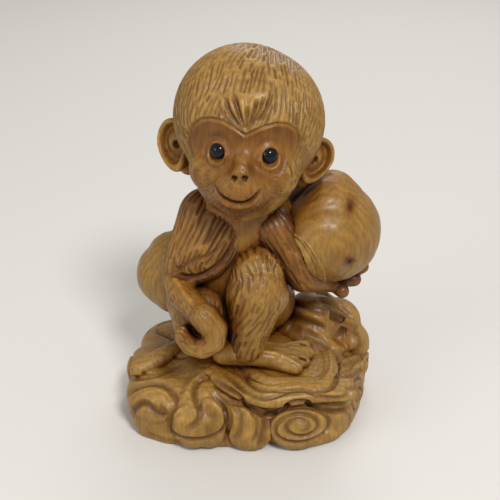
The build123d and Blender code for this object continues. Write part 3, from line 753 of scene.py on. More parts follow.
# Peaches
peachForms = {
    "largePeach": {
        "middle": (17.76, 3.52, 43.26), "radius": 11.8, "lean": (0.10, 0.0, 1.0), "suture": (-0.94, -0.34, 0.0),
        "nodes": ["large_peach"], "tone": 0.62, "stalk": [(333, 182.5, 3.0, 2.6), (344.5, 187, 3.0, 2.6)],
    },
    "smallPeach": {
        "middle": (-15.51, 11.0, 27.69), "radius": 9.9, "lean": (-0.16, -0.05, 1.0), "suture": (-0.45, 0.89, 0.0),
        "nodes": ["small_peach"], "tone": 0.25, "stalk": [],
    },
}
peachSkin = {
    "tip": [(0.0, 0.0, 0.995), (0.12, 0.34, 0.83), (0.02, 0.72, 0.50), (-0.06, 0.94, 0.27)],
    "knifeCuts": [(0.93, 0.2, 1.21), (0.69, 0.72, 1.03), (0.56, -0.80, 0.99)],        # up, towards the cleft, reach
    "deepestCut": 1.4, "cutShare": 0.9, "cleft": [(1.5, 0.42), (0.42, 0.62)], "facetDepth": 0.16, "facetScale": 0.33,
    "knots": [((350, 206), (5.0, 9.0)), ((349, 261), (5.0, 5.0))], "knotStain": 0.75,
}
for name, form in peachForms.items():
    middle, up, r = Vector(form["middle"]), Vector(form["lean"]).normalized(), form["radius"]
    side = Vector(form["suture"])
    side = (side - up * side.dot(up)).normalized()
    bm = bmesh.new()
    addBall(bm, middle, r)
    addLimb(bm, *[(*(middle + side * x * r + up * z * r), radius * r) for x, z, radius in peachSkin["tip"]])
    for way in (1, -1):
        cheek = up.cross(side) * way
        addBall(bm, middle + cheek * r * 0.26 + side * r * 0.22 + up * r * 0.05, r * 0.84)
    addLimb(bm, *[atDepth(*station) for station in form["stalk"]])
    shape = shapePiece(name, bm, rough=0.55, rounds=7, fine=0.27)
    # knife cuts across the top and down the flanks
    for rise, lean, reach in peachSkin["knifeCuts"]:
        cut = (up * rise + side * lean).normalized()
        over = (shape["spots"] - np.array(middle)) @ np.array(cut) - reach * r
        moveSkin(shape, -np.clip(over, 0, peachSkin["deepestCut"]) * peachSkin["cutShare"])
    suture = []
    for angle in np.linspace(math.radians(-80), math.radians(83), 40):
        outside = middle + (side * math.cos(angle) + up * math.sin(angle)) * (r * 1.6)
        hit = firstHit([shape["tree"]], outside, (middle + up * r * 0.12 - outside).normalized())
        if hit:
            suture.append(hit)
    carve(shape, [(np.array(suture), half, depth, 0.1) for half, depth in peachSkin["cleft"]])
    # low knife facets
    shift = Vector((7, 3, 1))
    facets = np.array([noise.noise(Vector(spot) * peachSkin["facetScale"] + shift) for spot in shape["spots"]])
    moveSkin(shape, peachSkin["facetDepth"] * facets)
peachStrokes = [
    ([(293, 218), (303, 221), (314, 225), (326, 229)], 1.2, -0.22),
    ([(296, 212), (308, 208), (322, 203), (336, 196)], 1.4, -0.16),
    ([(347, 263), (352, 260), (356, 263)], 0.5, 0.4), ([(350, 266), (354, 265), (356, 262)], 0.4, -0.25),
    ([(337, 284), (346, 274), (355, 265)], 0.6, -0.25),
    ([(303, 206), (311, 200), (321, 193)], 0.45, 0.25),
    ([(274, 213), (277, 221), (284, 229), (296, 236), (306, 242)], 0.9, -0.3),
]
peachTree = shapes["largePeach"]["tree"]
carve(shapes["largePeach"], castStrokes([peachTree], peachStrokes, 0.25))

# Leaf on the large peach: a grid shrunk onto the fruit, then given thickness
leafForm = {
    "outline": [(279, 224), (288, 229), (300, 236), (311, 245), (319, 257), (325, 271), (327, 284), (322, 288),
                (311, 286), (300, 283), (302, 270), (305, 260), (300, 249), (290, 239)],
    "veins": [[(284, 229), (298, 240), (307, 252), (314, 266), (318, 282)], [(300, 238), (308, 248), (316, 262)],
              [(305, 262), (306, 274)]],
    "thickness": 0.9, "lift": 0.30, "edgeLift": 0.22, "wave": 0.12,
}
leafPixels = np.array(leafForm["outline"], float)
bm = bmesh.new()
bmesh.ops.create_grid(bm, x_segments=46, y_segments=60, size=0.5)
low, high = leafPixels.min(0), leafPixels.max(0)
dropped = []
for vert in bm.verts:
    px = low[0] + (vert.co.x + 0.5) * (high[0] - low[0])
    py = low[1] + (vert.co.y + 0.5) * (high[1] - low[1])
    depth = outlineDistance(np.array([[px, py]]), leafPixels)[0]
    hit, way, _, _ = peachTree.ray_cast(viewPoint, pixelWay(px, py))
    if hit is None or depth < 0:
        dropped.append(vert)
        continue
    curl = leafForm["lift"] + leafForm["edgeLift"] * math.exp(-(depth / 2.2) ** 2)
    curl += leafForm["wave"] * math.sin(py * 0.25)
    vert.co = hit + way * curl
bmesh.ops.delete(bm, geom=dropped, context="VERTS")
bmesh.ops.recalc_face_normals(bm, faces=bm.faces)
bmesh.ops.solidify(bm, geom=bm.faces[:], thickness=leafForm["thickness"])
bmesh.ops.recalc_face_normals(bm, faces=bm.faces)
leaf = shapePiece("peachLeaf", bm, rough=0.3, rounds=4, fine=0.16)
carve(leaf, castStrokes([leaf["tree"]], [(line, 0.35, 0.2) for line in leafForm["veins"]], 0.2, 1.5))
print("peaches and leaf carved")

# Cloud base: lobes in (x, y, radius) round a flat middle, a wall that joins the front scrolls, and a skirt
baseForm = {
    "lobes": [(-19.2, -8.4, 9.4), (-12.7, -12.1, 7.9), (-0.6, -12.3, 8.5), (11.0, -12.3, 8.6), (17.8, -5.7, 8.2),
              (19.8, 2.5, 8.5), (16.9, 11.2, 9.0), (5.8, 13.7, 8.2), (-6.7, 13.7, 8.2), (-17.8, 11.2, 9.4),
              (-20.8, 1.5, 8.8)],
    "lobeHeight": 5.2,
    "middles": [((0, 0, 4.6), (1.06, 0.94, 0.24)), ((0, 0, 8.0), (1.06, 0.94, 0.24)),
                ((0, 0.5, 9.4), (1.12, 0.86, 0.40))],
    "middleRadius": 20.0,
    "frontWall": [(-22.6, -8.0), (-19.8, -12.0), (-12.0, -14.0), (0.0, -14.0), (11.0, -14.2), (18.0, -11.6),
                  (21.5, -4.0)],
    "wallRolls": [(5.6, 5.6, 0.0), (8.4, 4.7, 0.9)],        # height, radius, inset
    "skirt": [(-26.0, -8.5), (-23.8, -14.2), (-18.6, -16.8), (-12.0, -18.0), (-3.6, -18.1), (3.2, -15.4), (8.0, -18.0),
              (14.0, -18.2), (18.6, -16.2), (21.6, -12.2), (24.4, -5.0)],
    "skirtRoll": (1.5, 1.9),
}
bm = bmesh.new()
for x, y, r in baseForm["lobes"]:
    addBall(bm, (x, y, 4.4), r, (0.975, 0.975, baseForm["lobeHeight"] / r))
    addBall(bm, (x, y, 7.7), r, (1, 1, baseForm["lobeHeight"] / r))
for centre, squash in baseForm["middles"]:
    addBall(bm, centre, baseForm["middleRadius"], squash)
for z, r, inward in baseForm["wallRolls"]:
    addLimb(bm, *[(x * (1 - 0.01 * inward), y + inward, z, r) for x, y in baseForm["frontWall"]])
addLimb(bm, *[(x, y, *baseForm["skirtRoll"]) for x, y in baseForm["skirt"]])
cloudBase = shapePiece("cloudBase", bm, rough=0.7, rounds=8, fine=0.28, floor=True)


# A rounded cushion that faces outwards from the rim
def rimDisc(bm, place, way, wide, tall, thick):
    outward = Vector(way).normalized()
    right = upright.cross(outward).normalized()
    turn = Matrix((right, outward.cross(right), outward)).transposed().to_4x4()
    centre = Vector(place) - outward * thick
    for inset in (0.0, 0.9):
        addBall(bm, centre - outward * inset, 1.0, (wide - inset * 0.2, tall - inset * 0.2, thick), turn)


# (place, way it faces, half width, half height, thickness) of each cushion
rimForms = {
    "spiralScroll": [((10.9, -21.6, 6.6), (0.10, -0.97, 0.20), 6.5, 5.9, 2.6),
                     ((10.9, -21.9, 6.4), (0.1, -0.97, 0.2), 3.2, 2.9, 2.2)],
    "hookedScroll": [((-12.9, -21.8, 6.3), (-0.14, -0.97, 0.20), 4.9, 5.2, 2.9),
                     ((-9.4, -21.0, 6.9), (-0.10, -0.97, 0.25), 4.6, 5.9, 2.5)],
    "fanScroll": [((0.2, -21.6, 5.8), (0.02, -0.97, 0.20), 5.4, 5.4, 2.4)],
    "cornerCurl": [((-22.2, -17.0, 9.2), (-0.35, -0.90, 0.45), 5.6, 3.8, 2.2),
                   ((-22.6, -16.8, 4.2), (-0.40, -0.90, 0.12), 5.5, 4.0, 2.0)],
}
for name, discs in rimForms.items():
    bm = bmesh.new()
    for disc in discs:
        rimDisc(bm, *disc)
    shapePiece(name, bm, rough=0.4, rounds=4, fine=0.2, floor=True)

ribbonForm = {
    "line": [(-8.9, -10.3, 13.9), (-5.4, -14.6, 13.8), (-1.5, -17.6, 13.6), (4.1, -20.0, 13.3), (10.0, -19.3, 13.7),
             (16.9, -18.3, 13.7), (22.0, -17.2, 13.2)],
    "rolls": [(0.0, -0.1, 1.55), (1.7, 0.35, 1.4), (3.2, 0.55, 1.3)],        # behind, above, radius
}
limbs = [
    [(x, y + behind, z + above, r) for x, y, z in smoothLine(ribbonForm["line"], 1.5)]
    for behind, above, r in ribbonForm["rolls"]
]
shapePiece("cloudRibbon", roughForm(limbs), rough=0.38, rounds=6, fine=0.2)

rollForm = {"line": [(-25.4, -6.2, 12.1, 2.4), (-21.2, -3.4, 12.9, 2.6), (-16.8, -0.6, 13.6, 2.6)]}
shapePiece("cloudRoll", roughForm([rollForm["line"]]), rough=0.4, rounds=5, fine=0.2)

cushionForm = {
    "height": 13.9, "rim": 1.9,
    "outline": [(-1.0, -7.0), (1.6, -12.2), (4.0, -14.6), (9.8, -14.8), (15.6, -15.2), (17.8, -12.6), (18.4, -8.0),
                (18.0, -3.0), (15.6, 0.6)],
    "filling": [(3.4, -8.6, 5.2), (7.4, -10.0, 5.6), (11.6, -9.8, 5.8), (13.4, -7.2, 5.4), (9.6, -6.4, 5.4),
                (13.2, -3.2, 4.6)],
}
bm = roughForm([[(x, y, cushionForm["height"], cushionForm["rim"]) for x, y in cushionForm["outline"]]])
for x, y, r in cushionForm["filling"]:
    addBall(bm, (x, y, cushionForm["height"]), r, (1, 1, cushionForm["rim"] / r))
shapePiece("cloudCushion", bm, rough=0.4, rounds=6, fine=0.2)

rockForm = {"limbs": [[(15.6, 7.0, 8.0, 7.2), (15.4, 6.8, 18.3, 7.0)], [(21.3, 8.0, 8.0, 6.4), (21.0, 7.8, 16.6, 6.0)],
                      [(24.3, 6.2, 6.0, 5.0), (24.2, 6.0, 12.2, 4.9)],
                      [(10.4, 11.0, 10.0, 5.2), (9.0, 11.4, 17.0, 4.4)],
                      [(8.6, 7.2, 15.8, 5.2), (13.2, 3.0, 14.4, 5.3), (17.8, -0.6, 11.6, 5.0)]]}
shapePiece("backRock", roughForm(rockForm["limbs"]), rough=0.5, rounds=7, fine=0.24)
print("cloud forms fused")

cloudNames = ["cloudBase", "cloudRibbon", "cloudRoll", "cloudCushion", "backRock", *rimForms]
cloudTrees = [shapes[name]["tree"] for name in cloudNames]
cloudLines = [
    # curl at the left corner, as (pixels, half width, depth)
    ([(129, 397), (131.5, 391), (138, 387.5), (151, 384), (163, 385.5), (171, 391), (175.5, 399), (173.5, 409),
      (168, 415)], 0.8, 0.75),
    ([(171, 412), (162, 415.5), (153.5, 411), (147, 404), (141, 403), (135, 408), (132, 417), (134, 427)], 0.85, 0.95),
    ([(166, 408), (158, 413), (151, 407)], 1.3, 0.8),
    ([(137, 392), (150, 389.5), (161, 391), (168, 397)], 1.1, -0.3),
    ([(146, 433), (158, 438), (170, 441), (185, 443)], 0.7, 0.35),
    # hooked scroll
    ([(211, 378.5), (204, 378), (197.5, 383), (194, 391), (195.5, 399), (199, 407), (200.5, 414), (198, 421),
      (192, 426), (185, 430.5)], 0.75, 0.8),
    ([(209, 393), (216, 399), (223, 406.5), (226.5, 416), (225, 427), (218, 434), (207, 438.5), (195, 440),
      (181, 438), (172, 431), (169.5, 420), (172.5, 411), (180, 404.5), (188, 402)], 0.65, 0.75),
    ([(202, 408), (209, 412), (215, 419), (213, 428), (205, 433)], 1.5, 0.45),
    ([(203, 389), (210, 400), (218, 409), (221, 419), (219, 428)], 1.0, -0.4),
    ([(188, 410), (181, 412), (178, 419), (181, 425)], 1.6, -0.3),
    # fan of arcs
    ([(214, 392), (225, 402), (236, 404), (247, 406.5), (255, 415), (258.5, 426), (255.5, 437), (251, 443)], 0.6, 0.6),
    ([(231, 405.5), (238, 411), (241.5, 420), (240, 431), (235, 440)], 0.6, 0.5),
    ([(227, 405), (230, 414), (229.5, 426), (225.5, 437)], 0.55, 0.5),
    ([(240, 406), (247, 412), (250, 421), (248.5, 432), (243.5, 441)], 0.6, -0.3),
    ([(230, 408), (234.5, 415), (235.5, 425), (231, 437)], 0.6, -0.25),
    # cleft between fan and spiral
    ([(262, 447), (262.5, 437), (265, 427), (266, 417)], 1.1, 0.8),
    # big spiral, one line wound inwards
    ([(268, 424), (276, 414), (290, 408.5), (306, 407.5), (320, 411), (328.5, 418), (328, 428), (318, 437),
      (303, 442.5), (286, 441.5), (275, 434), (276, 425), (285, 417.5), (298, 414), (311, 416), (318.5, 423),
      (315.5, 431.5), (304, 436.5), (292, 435), (286, 428.5), (290.5, 421.5), (300, 419.5), (308.5, 423.5),
      (307, 430), (300, 431.5), (296, 427)], 0.58, 0.72),
    ([(272, 426), (281, 416.5), (294, 411), (308, 411.5), (319, 416), (323.5, 423), (319.5, 431.5),
      (308, 438.5)], 0.7, -0.25),
    # right end of the front
    ([(345.5, 410), (350, 418), (349, 427), (343, 435), (336, 441)], 0.6, 0.5),
    ([(358, 392), (360.5, 402), (358, 414), (351, 425)], 0.7, 0.45),
    # lower ribbon and the deep line under the upper one
    ([(211, 378.5), (219, 383), (233, 392), (247, 404.5), (257, 412), (265, 415.5), (275, 412), (285, 407),
      (296, 402.5), (310, 403.5), (322, 409), (334, 411.5), (346, 409.5), (354, 403)], 0.75, 1.0),
    ([(224, 372.5), (233, 380), (246, 391.5), (262, 398), (277, 395.5), (293, 390.5), (308, 391), (325, 397.5),
      (341, 398), (352, 391)], 0.65, 0.75),
    ([(238, 387.5), (251, 393.5), (263, 396), (277, 391), (290, 387), (306, 388), (322, 393), (338, 393)], 0.8, -0.35),
    ([(231, 366), (240, 374), (250, 385), (262, 391)], 0.6, 0.3),
    # edge of the cushion, and rings round the toes
    ([(236, 362), (243, 370), (249, 381.5), (259, 388.5), (276, 391), (297, 390), (318, 391.5), (331, 388),
      (337.5, 375), (337.5, 358), (331, 348)], 0.6, 0.75),
    ([(254, 384), (266, 387.5), (281, 386), (300, 384.5), (316, 386), (327, 381), (331, 370)], 0.9, -0.3),
    ([(309, 338), (320, 344), (327, 354), (328, 366), (322, 376), (312, 381)], 0.45, 0.16),
    ([(306, 342), (317, 348), (322, 358), (320, 368), (312, 374)], 0.4, 0.14),
    ([(305, 350), (313, 353), (316, 361), (312, 369)], 0.4, 0.14),
    # right slope, flutes and hollows of the rock
    ([(286, 304), (300, 306), (315, 309.5), (330, 313)], 1.0, 0.55),
    ([(278, 313), (292, 316), (308, 322), (325, 329)], 1.1, 0.75),
    ([(282, 308), (298, 312), (314, 318), (327, 323)], 1.1, -0.3),
    ([(311, 329), (322, 334), (330, 341), (338, 348), (348, 349), (356, 341)], 1.0, -0.4),
    ([(300, 333), (312, 337), (322, 343), (329, 350)], 1.1, 0.5), ([(288, 326), (298, 332), (306, 340)], 1.1, 0.4),
    ([(334, 340), (340, 334), (350, 331), (359, 335), (361, 344), (354, 352), (344, 354), (337, 349)], 0.8, 0.55),
    ([(316, 291), (323, 292), (332, 296)], 1.35, 1.2), ([(330, 314), (338, 317), (345, 321)], 1.35, 1.3),
    ([(339, 329), (343, 331), (348, 333)], 1.1, 1.1), ([(318, 300), (330, 303), (342, 309), (352, 318)], 0.9, 0.6),
    ([(322, 297.5), (335, 300), (347, 307), (356, 317)], 0.9, -0.35), ([(335, 324), (347, 325), (359, 330)], 0.8, 0.5),
    ([(341, 366), (352, 362), (364, 356)], 0.8, 0.5), ([(342, 378), (352, 375), (364, 368)], 0.8, 0.6),
    ([(345, 388), (355, 388), (363, 383)], 0.7, 0.45), ([(343, 372), (353, 369), (365, 362)], 0.8, -0.3),
    # left slope
    ([(128, 372), (134, 378), (150, 378), (166, 372), (182, 364)], 0.7, 0.5),
    ([(126, 358), (128, 346), (136, 337), (150, 331)], 1.0, 0.3),
    ([(125, 379), (133, 384), (150, 380.5), (170, 380), (186, 373), (196, 366)], 0.9, -0.35),
    ([(186, 398), (190, 388), (196, 379), (207, 370), (222, 362)], 1.0, -0.35),
    ([(180, 396), (184, 386), (190, 378), (200, 371)], 0.7, 0.35),
]
cloudCut = {"widen": 1.35, "deepen": 0.8, "taper": 0.12}
cloudStrokes = [
    (line, half * cloudCut["widen"], depth * cloudCut["deepen"], taper)
    for line, half, depth, taper in castStrokes(cloudTrees, cloudLines, cloudCut["taper"])
]

# Sides and back, which the photograph doesn't show: a scroll on each lobe and a wavy line over them
hiddenCuts = {
    "radius": 5.0, "turns": 2.1, "half": 0.62, "depth": 0.65, "height": 6.2, "starts": (0.6, 2.6),
    "waves": [(12.6, 0.9, 0.6), (15.0, 1.1, 0.45)], "waveHalf": 0.7, "waveArc": (-25, 205), "ripples": 9,
}
for number, (x, y, _) in enumerate(baseForm["lobes"][4:]):
    outward = Vector((x, y * 1.25, 0)).normalized()
    right = upright.cross(outward)
    spin = 1 if number % 2 else -1
    line = []
    for share in np.linspace(0.06, 1, 60):
        angle = share * hiddenCuts["turns"] * math.tau * spin + hiddenCuts["starts"][spin > 0]
        reach = hiddenCuts["radius"] * share
        start = Vector((x, y, hiddenCuts["height"])) + outward * 25 + right * math.cos(angle) * reach
        hit = firstHit(cloudTrees, start + upright * math.sin(angle) * reach * 0.92, -outward)
        if hit:
            line.append(hit)
    cloudStrokes.append((np.array(line), hiddenCuts["half"], hiddenCuts["depth"], 0.06))
for level, swing, depth in hiddenCuts["waves"]:
    line = []
    for angle in np.linspace(*[math.radians(end) for end in hiddenCuts["waveArc"]], 90):
        outward = Vector((math.cos(angle), math.sin(angle), 0))
        height = level + swing * math.sin(angle * hiddenCuts["ripples"])
        hit = firstHit([cloudBase["tree"]], outward * 60 + upright * height, -outward)
        if hit:
            line.append(hit)
    cloudStrokes.append((np.array(line), hiddenCuts["waveHalf"], depth, 0.05))
for name in cloudNames:
    carve(shapes[name], cloudStrokes, 0.9)
    print(name, "carved")

handStrokes = {
    "rightHand": [([(184, 321), (190, 327), (195, 333)], 0.8, 0.6), ([(175, 333), (182, 336), (188, 341)], 0.35, 0.35),
                  ([(178, 342), (184, 343), (189, 347)], 0.35, 0.3), ([(192, 336), (196, 340), (194, 346)], 0.35, 0.3),
                  ([(188, 333), (184, 329), (178, 328)], 0.35, 0.25)],
    "leftFoot": [([(299.5, 343), (308, 346)], 0.5, 0.9), ([(298, 356.5), (309, 360.5)], 0.55, 1.0),
                 ([(254, 350), (264, 351.5), (276, 353.5), (288, 358), (296, 364)], 0.75, -0.4),
                 ([(284, 347), (292, 344), (300, 343.5)], 0.5, 0.2),
                 ([(282, 354), (291, 353.5), (299, 356.5)], 0.5, 0.25),
                 ([(286, 357), (295, 358), (302, 363)], 0.35, 0.2), ([(289, 361), (296, 364), (301, 369)], 0.35, 0.2),
                 ([(233, 350), (237, 357), (238, 363)], 0.5, 0.2), ([(241, 348), (246, 354), (248, 361)], 0.5, 0.2)],
}
for name, drawn in handStrokes.items():
    carve(shapes[name], castStrokes([shapes[name]["tree"]], drawn, 0.25, 1.5))
fist = shapes["rightHand"]
fistPath = [atDepth(px, py, fistForm["depth"], r)[:3] for px, py, r in fistForm["curl"]]
fistFlow = flowAlong(fist["roughSpots"], fistPath)
carve(fist, furStrokes(fist, fistFlow, seenFrom(fist["roughWays"]) > 0.1, shortHair), 1.1)
print("hands and foot carved")

# Painted shade in the recesses: how much of the sky is blocked, from samples on the rough skins
paintedShadeForm = {"rays": 18, "reach": 9.0, "samples": 5200, "lift": 0.7, "fade": 0.7, "blend": 3, "goldenAngle": 2.39996}
roughSpots = np.vstack([shape["roughSpots"] for shape in shapes.values()])
roughFaces, start = [], 0
for shape in shapes.values():
    roughFaces += [tuple(index + start for index in face) for face in shape["faces"]]
    start += len(shape["roughSpots"])
wholeTree = BVHTree.FromPolygons([tuple(spot) for spot in roughSpots], roughFaces)
fan = []
for k in range(paintedShadeForm["rays"]):
    height = 1 - (k + 0.5) / paintedShadeForm["rays"]
    turn, reach = k * paintedShadeForm["goldenAngle"], math.sqrt(1 - height**2)
    fan.append(Vector((reach * math.cos(turn), reach * math.sin(turn), height)))
for name, shape in shapes.items():
    spots, ways = shape["roughSpots"], shape["roughWays"]
    picked = range(0, len(spots), max(1, len(spots) // paintedShadeForm["samples"]))
    tree = KDTree(len(picked))
    hidden = []
    for number, k in enumerate(picked):
        way = Vector(ways[k])
        turn = upright.rotation_difference(way).to_matrix()
        start = Vector(spots[k]) + way * paintedShadeForm["lift"]
        blocked = 0.0
        for ray in fan:
            gap = wholeTree.ray_cast(start, turn @ ray, paintedShadeForm["reach"])[3]
            if gap is not None:
                blocked += 1 - paintedShadeForm["fade"] * gap / paintedShadeForm["reach"]
        hidden.append(blocked / paintedShadeForm["rays"])
        tree.insert(spots[k], number)
    tree.balance()
    hidden = np.array(hidden)
    shape["stain"] = np.empty(len(shape["spots"]))
    for k, spot in enumerate(shape["spots"]):
        found = tree.find_n(spot, paintedShadeForm["blend"])
        weights = [1 / (entry[2] + 0.05) for entry in found]
        shape["stain"][k] = sum(hidden[entry[1]] * weight for entry, weight in zip(found, weights)) / sum(weights)
print("recesses measured")


# Materials
def node(tree, kind, place, **inputs):
    made = tree.nodes.new(kind)
    made.location = place
    for key, value in inputs.items():
        made.inputs[key].default_value = value
    return made


def newMaterial(name):
    material = bpy.data.materials.new(name)
    material.use_nodes = True
    tree = material.node_tree
    place = node(tree, "ShaderNodeTexCoord", (-1600, 0)).outputs["Object"]
    return material, tree, tree.nodes["Principled BSDF"], place


# A ramp from one (position, colour) to another, with one more between
def tinted(tree, place, source, first, last, between=None):
    made = node(tree, "ShaderNodeValToRGB", place)
    stops = made.color_ramp.elements
    for k, (position, colour) in enumerate((first, last)):
        stops[k].position = position
        stops[k].color = (*colour, 1)
    if between:
        stops.new(between[0]).color = (*between[1], 1)
    tree.links.new(source, made.inputs["Fac"])
    return made.outputs["Color"]


def multiplied(tree, place, factor, base, tint):
    made = node(tree, "ShaderNodeMix", place, Factor=factor)
    made.data_type = "RGBA"
    made.blend_type = "MULTIPLY"
    tree.links.new(base, made.inputs[6])
    tree.links.new(tint, made.inputs[7])
    return made.outputs[2]


# Stretches a value from, or to, a low and a high end
def spanned(tree, place, source, end, low, high):
    made = node(tree, "ShaderNodeMapRange", place)
    made.inputs[end + " Min"].default_value = low
    made.inputs[end + " Max"].default_value = high
    tree.links.new(source, made.inputs["Value"])
    return made.outputs["Result"]


def attribute(tree, place, name):
    made = node(tree, "ShaderNodeAttribute", place)
    made.attribute_name = name
    return made.outputs["Fac"]


boxwoodLook = {
    "darkWood": (0.272, 0.142, 0.026), "paleWood": (0.385, 0.224, 0.056), "patchScale": 70.0,
    "grain": (0.55, 0.46, 0.38), "grainScale": 1500.0, "grainShare": 0.62, "grainBump": 0.12,
    "ringScale": 210.0, "ringShare": 0.16,
    # ridge: paler rubbed wear on raised relief; cut: painted shade with some stain in the grooves
    "ridge": (1.28, 1.26, 1.18), "cut": (0.36, 0.24, 0.14), "reliefSpan": (-0.25, 0.66),
    # shade-and-stain colours: mostly painted shade in the recesses, plus each piece's darker tone and the knots' stain
    "stain": (0.70, 0.51, 0.27), "deepShadeAndStain": (0.21, 0.10, 0.03), "shadeAndStainSpan": (0.32, 1.1), "stainUneven": 0.35,
    "roughness": (0.36, 0.52), "specular": 0.26, "coat": 0.09, "coatRoughness": 0.22,
}
plain = (1.0, 1.0, 1.0)


# Honey boxwood: fine grain, painted shade with some stain in the cuts, painted shade in the recesses, rubbed paler on
# the ridges
def boxwoodMaterial(look):
    material, tree, shader, place = newMaterial("boxwood")
    link = tree.links.new
    grainMap = node(tree, "ShaderNodeMapping", (-1400, 200), Scale=(1.0, 1.0, 0.16))
    grain = node(tree, "ShaderNodeTexNoise", (-1200, 200), Scale=look["grainScale"], Detail=3.0, Roughness=0.6)
    ringMap = node(tree, "ShaderNodeMapping", (-1400, -100), Location=(0.03, 0.06, 0.0), Scale=(1.0, 1.0, 0.35))
    rings = node(tree, "ShaderNodeTexWave", (-1200, -100), Scale=look["ringScale"], Distortion=5.0, Detail=2.0)
    rings.wave_type = "RINGS"
    rings.inputs["Detail Scale"].default_value = 1.2
    patches = node(tree, "ShaderNodeTexNoise", (-1200, -400), Scale=look["patchScale"], Detail=3.0, Roughness=0.55)
    stainNoise = node(tree, "ShaderNodeTexNoise", (-1200, -1150), Scale=260.0, Detail=4.0, Roughness=0.6)
    for target in (grainMap, ringMap, patches, stainNoise):
        link(place, target.inputs["Vector"])
    link(grainMap.outputs["Vector"], grain.inputs["Vector"])
    link(ringMap.outputs["Vector"], rings.inputs["Vector"])

    wood = tinted(tree, (-950, 200), patches.outputs["Fac"], (0.3, look["darkWood"]), (0.72, look["paleWood"]))
    grainTint = tinted(tree, (-950, -80), grain.outputs["Fac"], (0.32, look["grain"]), (0.62, plain))
    wood = multiplied(tree, (-700, 150), look["grainShare"], wood, grainTint)
    wood = multiplied(tree, (-500, 100), look["ringShare"], wood, rings.outputs["Color"])

    # painted shade, with some stain, darkens the cuts and rubbed wear pales the ridges, from the carved relief
    relief = spanned(tree, (-950, -650), attribute(tree, (-1200, -700), "relief"), "From", *look["reliefSpan"])
    reliefTint = tinted(tree, (-750, -600), relief, (0.0, look["ridge"]), (1.0, look["cut"]), (0.25, plain))
    wood = multiplied(tree, (-300, 50), 1.0, wood, reliefTint)

    # orange-brown painted shade that gathers in the recesses, together with each piece's darker tone, the face
    # darkening and the knots' stain
    uneven = node(tree, "ShaderNodeMath", (-950, -1000))
    uneven.operation = "MULTIPLY_ADD"
    uneven.inputs[1].default_value = look["stainUneven"]
    link(stainNoise.outputs["Fac"], uneven.inputs[0])
    link(attribute(tree, (-1200, -950), "stain"), uneven.inputs[2])
    stain = spanned(tree, (-750, -950), uneven.outputs["Value"], "From", *look["shadeAndStainSpan"])
    shadeAndStainTint = tinted(tree, (-550, -900), stain, (0.0, plain), (1.0, look["deepShadeAndStain"]), (0.42, look["stain"]))
    link(multiplied(tree, (-100, 0), 1.0, wood, shadeAndStainTint), shader.inputs["Base Color"])

    shine = spanned(tree, (-300, -300), patches.outputs["Fac"], "To", *look["roughness"])
    link(shine, shader.inputs["Roughness"])
    shader.inputs["Specular IOR Level"].default_value = look["specular"]
    shader.inputs["Coat Weight"].default_value = look["coat"]
    shader.inputs["Coat Roughness"].default_value = look["coatRoughness"]
    bump = node(tree, "ShaderNodeBump", (-300, -500), Strength=look["grainBump"], Distance=0.0002)
    link(grain.outputs["Fac"], bump.inputs["Height"])
    link(bump.outputs["Normal"], shader.inputs["Normal"])
    return material


glassLook = {"dark": (0.002, 0.002, 0.003), "pale": (0.010, 0.010, 0.014), "roughness": 0.07, "specular": 0.22}


def blackGlassMaterial(look):
    material, tree, shader, place = newMaterial("blackGlass")
    depth = node(tree, "ShaderNodeTexNoise", (-600, 0), Scale=900.0, Detail=2.0)
    tree.links.new(place, depth.inputs["Vector"])
    tint = tinted(tree, (-400, 0), depth.outputs["Fac"], (0.0, look["dark"]), (1.0, look["pale"]))
    tree.links.new(tint, shader.inputs["Base Color"])
    shader.inputs["Roughness"].default_value = look["roughness"]
    shader.inputs["Specular IOR Level"].default_value = look["specular"]
    return material


boxwood, blackGlass = boxwoodMaterial(boxwoodLook), blackGlassMaterial(glassLook)
print("materials made")

# Finished pieces: the solids that each stands for, and how much darker each piece is made
pieceNodes = {
    "headCarving": (["head"], 0.12), "rightEar": (["right_ear"], 0.1), "leftEar": (["left_ear"], 0.1),
    "rightHand": (["right_hand"], 0.25), "leftHand": (["left_hand"], 0.5), "leftFoot": (["left_foot"], 0.0),
    "peachLeaf": (["peach_leaf"], -0.1), "cloudBase": (["cloud_base"], 0.0), "spiralScroll": (["spiral_scroll"], 0.0),
    "hookedScroll": (["hooked_scroll"], 0.0), "fanScroll": (["fan_scroll"], 0.0), "cornerCurl": (["corner_curl"], 0.0),
    "cloudRibbon": (["cloud_ribbon"], 0.0), "cloudRoll": (["cloud_roll"], 0.0),
    "cloudCushion": (["cloud_cushion"], -0.12), "backRock": (["back_rock"], 0.15),
}
toneShare = 0.32
for forms in (bodyForms, peachForms):
    for name, form in forms.items():
        pieceNodes[name] = (form["nodes"], form["tone"] * toneShare)
shapes["headCarving"]["stain"] += faceDarkening
pixels = toPixels(shapes["largePeach"]["spots"])
for (px, py), (wide, tall) in peachSkin["knots"]:
    near = np.exp(-((pixels[:, 0] - px) / wide) ** 2 - ((pixels[:, 1] - py) / tall) ** 2)
    shapes["largePeach"]["stain"] += peachSkin["knotStain"] * near * (seenFrom(shapes["largePeach"]["ways"]) > 0)


def dress(mesh, material):
    mesh.polygons.foreach_set("use_smooth", np.ones(len(mesh.polygons), bool))
    mesh.materials.clear()
    mesh.materials.append(material)
    mesh.update()


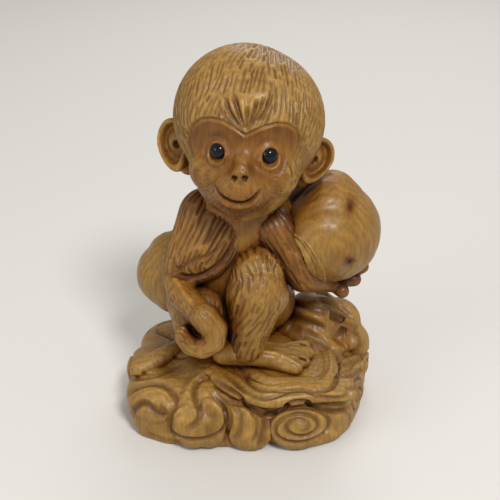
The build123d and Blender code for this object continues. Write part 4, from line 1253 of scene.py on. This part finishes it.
for name, (nodes, tone) in pieceNodes.items():
    shape = shapes[name]
    mesh = shape["mesh"]
    mesh.name = name
    mesh.vertices.foreach_set("co", (shape["spots"] * toMetres).ravel())
    for key, values in (("relief", shape["relief"]), ("stain", shape["stain"] + tone)):
        layer = mesh.attributes.new(key, "FLOAT", "POINT")
        layer.data.foreach_set("value", values.astype(np.float32))
    dress(mesh, boxwood)
    piece = addObject(name, mesh)
    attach(piece, "root")
    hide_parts(*nodes)
    print(name, "finished:", 2 * len(mesh.polygons), "triangles")
for name, mesh in beads.items():
    dress(mesh, blackGlass)
    piece = addObject(name, mesh)
    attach(piece, "root")
    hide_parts({"rightEye": "right_eye", "leftEye": "left_eye"}[name])

# Floor and light: each lamp's name, place, size and power
studio = {
    "floorColour": (0.62, 0.60, 0.57, 1),
    "floorRoughness": 0.8,
    "floorSize": 3.0,
    "worldColour": (0.92, 0.90, 0.86, 1),
    "worldStrength": 0.50,
    "lamps": [
        ("keyLamp", (0.17, -0.38, 0.52), 0.16, 3.3),
        ("fillLamp", (-0.50, -0.34, 0.30), 0.40, 1.1),
        ("backLamp", (0.10, 0.45, 0.45), 0.35, 1.2),
    ],
}
bm = bmesh.new()
bmesh.ops.create_grid(bm, x_segments=1, y_segments=1, size=studio["floorSize"])
floor = addObject("floor", meshFrom(bm, "floor"))
floorMaterial = bpy.data.materials.new("floor")
floorMaterial.use_nodes = True
floorShader = floorMaterial.node_tree.nodes["Principled BSDF"]
floorShader.inputs["Base Color"].default_value = studio["floorColour"]
floorShader.inputs["Roughness"].default_value = studio["floorRoughness"]
floor.data.materials.append(floorMaterial)

world = bpy.data.worlds.new("studio")
world.use_nodes = True
background = world.node_tree.nodes["Background"]
background.inputs["Color"].default_value = studio["worldColour"]
background.inputs["Strength"].default_value = studio["worldStrength"]
bpy.context.scene.world = world
aim = camera["target"] * toMetres
for name, place, size, power in studio["lamps"]:
    lamp = bpy.data.lights.new(name, "AREA")
    lamp.shape = "DISK"
    lamp.size = size
    lamp.energy = power
    lampObject = addObject(name, lamp)
    lampObject.location = place
    lampObject.rotation_euler = (aim - Vector(place)).to_track_quat("-Z", "Y").to_euler()
bpy.context.scene.view_settings.view_transform = "Standard"
print("studio lit")
